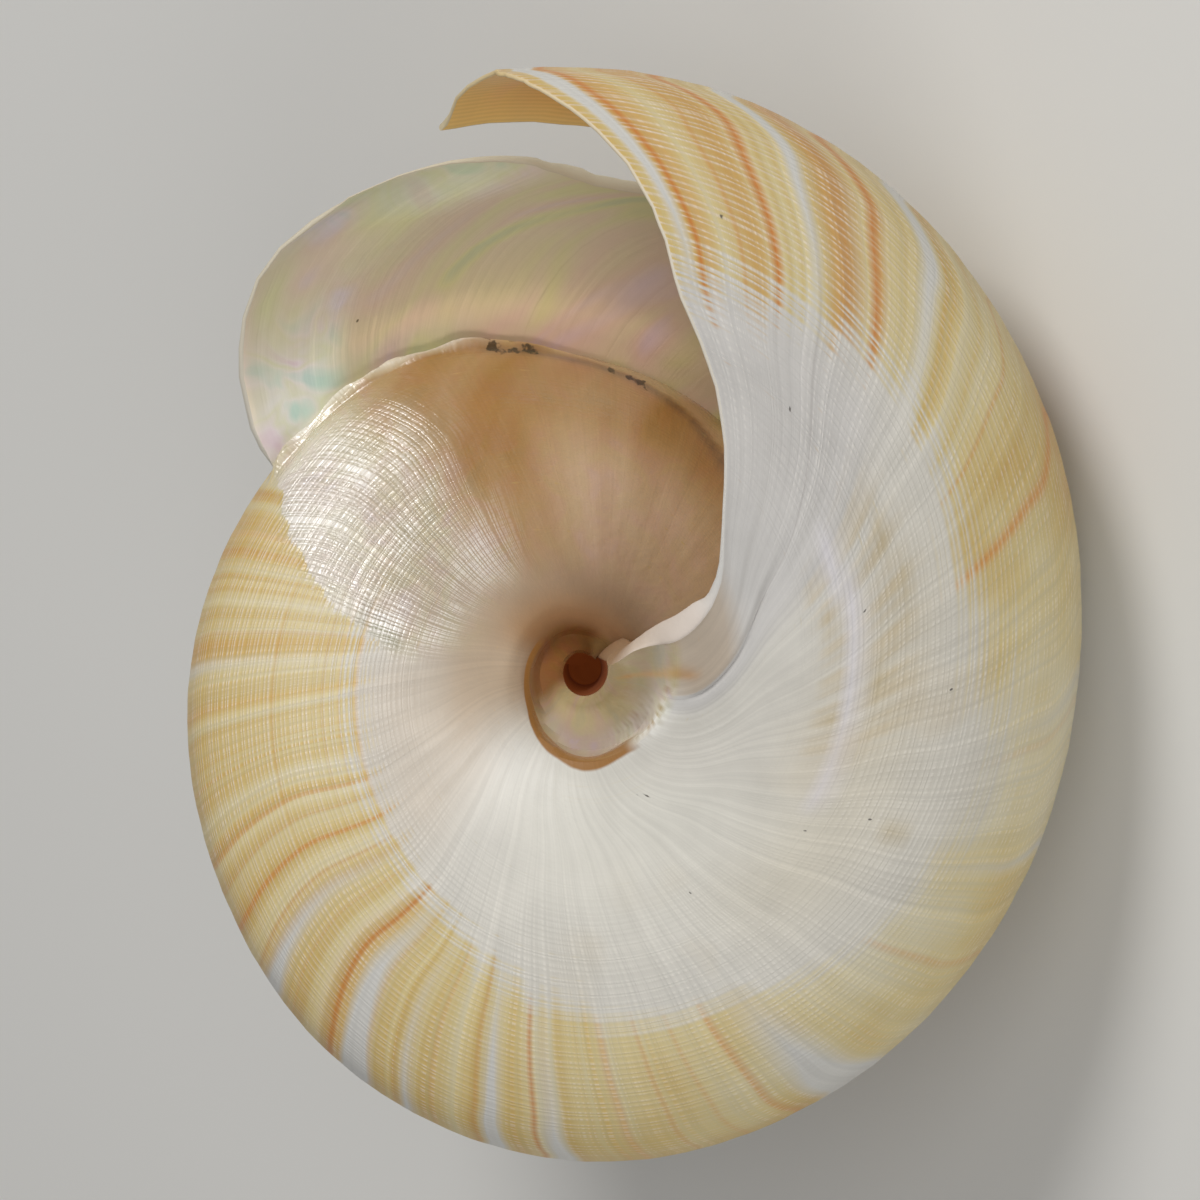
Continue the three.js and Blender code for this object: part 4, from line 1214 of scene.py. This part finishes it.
    # Painted shade: a grey line along the old lip's crease on the base.
    from_old_lip = add(tree, "Attribute", output="Fac", attribute_name="past_old_lip")
    from_old_lip = add(tree, "Math", {0: from_old_lip}, operation="ABSOLUTE")
    crease_shade = add(tree, "MapRange", {"Value": from_old_lip, "From Min": 0.45, "From Max": 0.0})
    crease_shade_share = add(tree, "MapRange", {"Value": place, "From Min": 11.6, "From Max": 15.0, "To Max": 0.4})
    crease_shade = add(tree, "Math", {0: crease_shade, 1: crease_shade_share}, operation="MULTIPLY")
    colour = add(tree, "Mix", {0: crease_shade, 6: colour, 7: CREASE_SHADE_GREY}, 2, data_type="RGBA")
    dirt = add_specks(tree, growth, across, ragged, SPECKS)
    colour = add(tree, "Mix", {0: dirt, 6: colour, 7: DIRT}, 2, data_type="RGBA")
    rays = add(tree, "TexNoise", {"W": wandering, "Scale": 1.0 / RAY_DEGREES, "Detail": 3.0}, noise_dimensions="1D")
    rays = add(tree, "MapRange", {"Value": rays, "From Min": 0.3, "From Max": 0.7, "To Min": 0.95, "To Max": 1.03})
    colour = add(tree, "Mix", {0: rayed, 6: colour, 7: rays}, 2, data_type="RGBA", blend_type="MULTIPLY")
    darkest = add(tree, "MapRange", {"Value": threaded, "To Min": 0.99, "To Max": 0.94})
    shade = add(tree, "MapRange", {"Value": fine, "From Min": 0.25, "From Max": 0.75, "To Min": darkest, "To Max": 1.03})
    colour = add(tree, "Mix", {0: 1.0, 6: colour, 7: shade}, 2, data_type="RGBA", blend_type="MULTIPLY")
    tree.links.new(colour, shader.inputs["Base Color"])
    # Painted light: the glow attribute makes the funnel by the pit glow faintly.
    tree.links.new(colour, shader.inputs["Emission Color"])
    tree.links.new(glow, shader.inputs["Emission Strength"])
    bead = add(tree, "MapRange", {"Value": fine, "From Min": 0.3, "From Max": 0.7, "To Min": 0.35, "To Max": 1.0})
    bead = add(tree, "Math", {0: bead, 1: thread}, operation="MULTIPLY")
    bead = add(tree, "Math", {0: bead, 1: threaded}, operation="MULTIPLY")
    relief_share = add(tree, "MapRange", {"Value": crest_share, "To Min": 0.3})
    bead = add(tree, "Math", {0: bead, 1: relief_share}, operation="MULTIPLY")
    grain = add(tree, "TexNoise", {"Vector": position, "Scale": 2600.0, "Detail": 1.0})
    height = add(tree, "Math", {0: grain, 1: 0.25, 2: bead}, operation="MULTIPLY_ADD")
    scratch = add(tree, "Math", {0: fine, 1: threaded}, operation="MULTIPLY")
    height = add(tree, "Math", {0: scratch, 1: 0.2, 2: height}, operation="MULTIPLY_ADD")
    wrinkles = add(tree, "TexNoise", {"Vector": position, "Scale": 640.0, "Detail": 2.0})
    wrinkles = add(tree, "Math", {0: wrinkles, 1: polish}, operation="MULTIPLY")
    height = add(tree, "Math", {0: wrinkles, 1: 1.4, 2: height}, operation="MULTIPLY_ADD")
    beads = add(tree, "Math", {0: cell, 1: beaded}, operation="MULTIPLY")
    height = add(tree, "Math", {0: beads, 1: 0.8, 2: height}, operation="MULTIPLY_ADD")
    normal = add(tree, "Bump", {"Strength": 0.45, "Distance": 0.00012, "Height": height})
    tree.links.new(normal, shader.inputs["Normal"])
    rough = add(tree, "MapRange", {"Value": polish, "To Min": 0.46, "To Max": 0.27})
    tree.links.new(rough, shader.inputs["Roughness"])
    shader.inputs["IOR"].default_value = 1.6
    coat = add(tree, "Math", {0: polish, 1: gloss}, operation="MULTIPLY")
    tree.links.new(coat, shader.inputs["Coat Weight"])
    tree.links.new(normal, shader.inputs["Coat Normal"])
    shader.inputs["Coat Roughness"].default_value = 0.24
    return material


chalk = add_outside("chalky outer layer, satin", THREAD_TURNS, 0.8)
glazed = add_outside("pearly glaze over the whorl", GLAZE_THREAD_TURNS, 1.0)
print(len(chalk.node_tree.nodes), "nodes in the outer layer")

# %% [markdown]
# Mother of pearl is built of thin flat crystals in layers, so it is glossy, and its colour drifts with the
# layers' slope: pale green, straw and pink in streaks along the growth lines. Its hues are mixed from
# noise that is stretched along those lines, and a thin film on the shader tints the gloss.

# %% Mother of pearl inside
HUE_SHARE = 0.62
# pearly tints of the painted highlights
IRIDESCENT_HIGHLIGHT_STOPS = [(0.3, "#C6EAE4"), (0.42, "#F4F5F0"), (0.5, "#ECEFD6"), (0.6, "#F6F0F2"), (0.72, "#ECCFE8")]
NACRE_SPECKS = [(440.5, 1.2, 0.3)]


def add_nacre():
    material, tree, shader = blank_material("mother of pearl, grown")
    growth = add(tree, "Attribute", output="Fac", attribute_name="growth")
    place = add(tree, "Attribute", output="Fac", attribute_name="place")
    position = add(tree, "TexCoord", output="Object")
    streak_place = add(tree, "CombineXYZ", {0: growth, 1: place, 2: 0.0})
    slanted = add(tree, "Mapping", {"Vector": streak_place, "Rotation": (0.0, 0.0, 0.12),
                                    "Scale": (0.07, 0.35, 1.0)})
    streaks = add(tree, "TexNoise", {"Vector": slanted, "Scale": 1.0, "Detail": 1.0, "Distortion": 1.2})
    hue = add(tree, "ValToRGB", {"Fac": streaks}, stops=NACRE_STOPS)
    ground = add(tree, "Attribute", output="Color", attribute_name="ground")
    share = add(tree, "MapRange", {"Value": place, "From Min": 4.5, "From Max": 6.2, "To Min": HUE_SHARE, "To Max": 0.12})
    colour = add(tree, "Mix", {0: share, 6: ground, 7: hue}, 2, data_type="RGBA")
    # Painted highlights in pearly tints, where the attribute says.
    iridescent_highlight = add(tree, "Attribute", output="Fac", attribute_name="iridescent_highlight")
    patches = add(tree, "TexNoise", {"Vector": position, "Scale": 170.0, "Detail": 2.0, "Distortion": 0.7})
    patches = add(tree, "ValToRGB", {"Fac": patches}, stops=IRIDESCENT_HIGHLIGHT_STOPS)
    iridescent_highlight = add(tree, "Math", {0: iridescent_highlight, 1: 0.7}, operation="MULTIPLY")
    colour = add(tree, "Mix", {0: iridescent_highlight, 6: colour, 7: patches}, 2, data_type="RGBA")
    across = add(tree, "Attribute", output="Fac", attribute_name="across")
    dirt = add_specks(tree, growth, across, streaks, NACRE_SPECKS)
    colour = add(tree, "Mix", {0: dirt, 6: colour, 7: DIRT}, 2, data_type="RGBA")
    turns = add(tree, "Math", {0: across, 1: THREAD_TURNS}, operation="MULTIPLY")
    wave = add(tree, "Math", {0: turns}, operation="SINE")
    shine_through = add(tree, "MapRange", {"Value": place, "From Min": 5.0, "From Max": 6.0, "To Max": 0.05})
    lighter = add(tree, "Math", {0: wave, 1: shine_through, 2: 1.0}, operation="MULTIPLY_ADD")
    colour = add(tree, "Mix", {0: 1.0, 6: colour, 7: lighter}, 2, data_type="RGBA", blend_type="MULTIPLY")
    tree.links.new(colour, shader.inputs["Base Color"])
    glow = add(tree, "Attribute", output="Fac", attribute_name="glow")
    # Painted light: the inside of the hook glows faintly.
    tree.links.new(colour, shader.inputs["Emission Color"])
    tree.links.new(glow, shader.inputs["Emission Strength"])
    fine = add(tree, "TexNoise", {"W": growth, "Scale": 0.8, "Detail": 2.0}, noise_dimensions="1D")
    cloud = add(tree, "TexNoise", {"Vector": position, "Scale": 260.0, "Detail": 2.0})
    height = add(tree, "Math", {0: fine, 1: 0.5, 2: cloud}, operation="MULTIPLY_ADD")
    normal = add(tree, "Bump", {"Strength": 0.25, "Distance": 0.0003, "Height": height})
    tree.links.new(normal, shader.inputs["Normal"])
    shader.inputs["Roughness"].default_value = 0.27
    shader.inputs["IOR"].default_value = 1.6
    shader.inputs["Thin Film Thickness"].default_value = 430.0
    shader.inputs["Thin Film IOR"].default_value = 1.42
    return material


# %% [markdown]
# The broken edge shows the chalky layer's inside: dull white, a little coarse. Where the lip turns into
# the pillar it is thick, smooth and pinkish cream.

# %% Broken edge
EDGE_STOPS = [(0.0, "#D5CFC2"), (0.2, "#CDBF9F"), (0.32, "#DABF88"), (0.5, "#D8CDB8"), (0.67, "#D8D5CF")]
EDGE_STOPS += [(0.71, "#E2D5C9"), (0.82, "#D8C6B4"), (0.86, "#A08060")]


def add_edge():
    material, tree, shader = blank_material("chalky edge, broken")
    place = add(tree, "Attribute", output="Fac", attribute_name="place")
    position = add(tree, "TexCoord", output="Object")
    along = add(tree, "Math", {0: place, 1: float(SECTION_END)}, operation="DIVIDE")
    colour = add(tree, "ValToRGB", {"Fac": along}, stops=EDGE_STOPS)
    grain = add(tree, "TexNoise", {"Vector": position, "Scale": 1500.0, "Detail": 3.0})
    normal = add(tree, "Bump", {"Strength": 0.5, "Distance": 0.0001, "Height": grain})
    rough = add(tree, "MapRange", {"Value": grain, "To Min": 0.35, "To Max": 0.65})
    tree.links.new(colour, shader.inputs["Base Color"])
    tree.links.new(normal, shader.inputs["Normal"])
    tree.links.new(rough, shader.inputs["Roughness"])
    return material


# %% [markdown]
# Deep in the pit the wall is so thin that light seeps through it, red-brown. A wall that glows very
# faintly stands for that, because the light that goes through a millimetre of shell can't be followed.

# %% Deep pit


def add_deep_pit():
    material, tree, shader = blank_material("thin shell wall, lit from behind")
    position = add(tree, "TexCoord", output="Object")
    cloud = add(tree, "TexNoise", {"Vector": position, "Scale": 500.0, "Detail": 2.0})
    # Painted shade: the deep pit's own colour is dark brown, for the darkness of the hole.
    colour = add(tree, "ValToRGB", {"Fac": cloud}, stops=[(0.3, "#54301C"), (0.7, "#6C4028")])
    tree.links.new(colour, shader.inputs["Base Color"])
    shader.inputs["Roughness"].default_value = 0.45
    place = add(tree, "Attribute", output="Fac", attribute_name="place")
    depth = add(tree, "MapRange", {"Value": place, "From Min": float(PIT_EDGE), "From Max": float(SECTION_END)})
    depth = add(tree, "Math", {0: cloud, 1: 0.3, 2: depth}, operation="MULTIPLY_ADD")
    glow = add(tree, "ValToRGB", {"Fac": depth}, stops=[(0.2, "#5C2A0E"), (0.9, "#2E1006")])
    tree.links.new(glow, shader.inputs["Emission Color"])
    shader.inputs["Emission Strength"].default_value = 0.8
    return material


# %% Give each face its material
GLAZED, DEEP_PIT = 3, 4
for material in (chalk, add_edge(), add_nacre(), glazed, add_deep_pit()):
    shell_mesh.materials.append(material)
face_of_corner = np.repeat(np.arange(len(kind_of_face)), is_corner.sum(axis=1))
face_glaze = np.zeros(len(kind_of_face))
np.maximum.at(face_glaze, face_of_corner, corner_glaze)
material_of_face = np.where(face_glaze > 0.5, GLAZED, kind_of_face)
mean_place = place_at_corner.mean(axis=1)
material_of_face[(kind_of_face == OUTSIDE) & (mean_place > PIT_EDGE)] = DEEP_PIT
shell_mesh.polygons.foreach_set("material_index", material_of_face.astype(np.int32))
print("faces by material:", np.bincount(material_of_face))

# %% [markdown]
# The photograph looks straight down the shell's axis from the side of its base. The camera stands on
# that line, so it looks down on the shell at 46 degrees, and the table fills the background.

# %% The camera
SENSOR = 36.0
VIEW_DISTANCE = 0.700
VIEW_WIDTH = 0.120
SHELL_DEPTH = 0.066
AIM = Vector((1.7, 7.2, 0.0)) * MM


def add_camera():
    data = bpy.data.cameras.new("camera")
    data.sensor_width = SENSOR
    data.lens = SENSOR * VIEW_DISTANCE / VIEW_WIDTH
    camera = bpy.data.objects.new("camera", data)
    bpy.context.scene.collection.objects.link(camera)
    on_axis = Matrix.Translation(AIM + Vector((0.0, 0.0, SHELL_DEPTH + VIEW_DISTANCE)))
    camera.matrix_world = laid_down @ on_axis
    bpy.context.scene.camera = camera
    return camera


camera = add_camera()
print("camera at", [round(v, 3) for v in camera.matrix_world.translation], "m")

# %% [markdown]
# The table is a plain pale sheet, and the light is soft. The key lamp stands where its reflection falls
# on the glaze beside the mouth, which is where the photograph has its highlights. A wide weak lamp near
# the camera and one below the picture fill the shadows, and the sky is even and pale.

# %% Floor and light
FLOOR_SIZE = 4.0
PAPER = "#D9D7D2"
SKY = "#EDEFF2"
SKY_STRENGTH = 0.28


def add_paper():
    material, tree, shader = blank_material("matt paper")
    shader.inputs["Base Color"].default_value = (*linear(PAPER), 1.0)
    shader.inputs["Roughness"].default_value = 0.9
    return material


def add_floor():
    lowest = visual_box[0].z
    half = FLOOR_SIZE / 2.0
    corners = [(-half, -half, lowest), (half, -half, lowest), (half, half, lowest), (-half, half, lowest)]
    mesh = bpy.data.meshes.new("floor")
    mesh.from_pydata(corners, [], [(0, 1, 2, 3)])
    floor = bpy.data.objects.new("floor", mesh)
    bpy.context.scene.collection.objects.link(floor)
    mesh.materials.append(add_paper())
    floor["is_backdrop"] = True


def add_lamp(name, direction, distance, size, power):
    data = bpy.data.lights.new(name, "AREA")
    data.shape = "DISK"
    data.size = size
    data.energy = power
    lamp = bpy.data.objects.new(name, data)
    bpy.context.scene.collection.objects.link(lamp)
    towards = Vector(direction).normalized()
    lamp.location = towards * distance
    lamp.rotation_mode = "QUATERNION"
    lamp.rotation_quaternion = towards.to_track_quat("Z", "Y")


def picture_direction(right, up, towards_camera):
    turn = camera.matrix_world.to_3x3()
    return turn @ Vector((right, up, towards_camera))


add_floor()
add_lamp("key lamp", picture_direction(-0.5, 0.6, 0.65), 0.85, 0.32, 3.6)
add_lamp("front lamp", picture_direction(-0.2, 0.1, 1.0), 1.0, 0.6, 1.2)
add_lamp("fill lamp", picture_direction(0.15, -0.75, 0.9), 1.0, 0.6, 2.2)
world = bpy.data.worlds.new("even sky")
world.use_nodes = True
world.node_tree.nodes["Background"].inputs["Color"].default_value = (*linear(SKY), 1.0)
world.node_tree.nodes["Background"].inputs["Strength"].default_value = SKY_STRENGTH
bpy.context.scene.world = world
bpy.context.scene.view_settings.view_transform = "Standard"
print("floor at", round(visual_box[0].z / MM, 2), "mm")

# %% [markdown]
# Last, the shell's visual box is written down.

# %% Write down the visual box
visual_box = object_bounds()
print("visual box in mm:", [[round(v / MM, 1) for v in corner] for corner in visual_box])
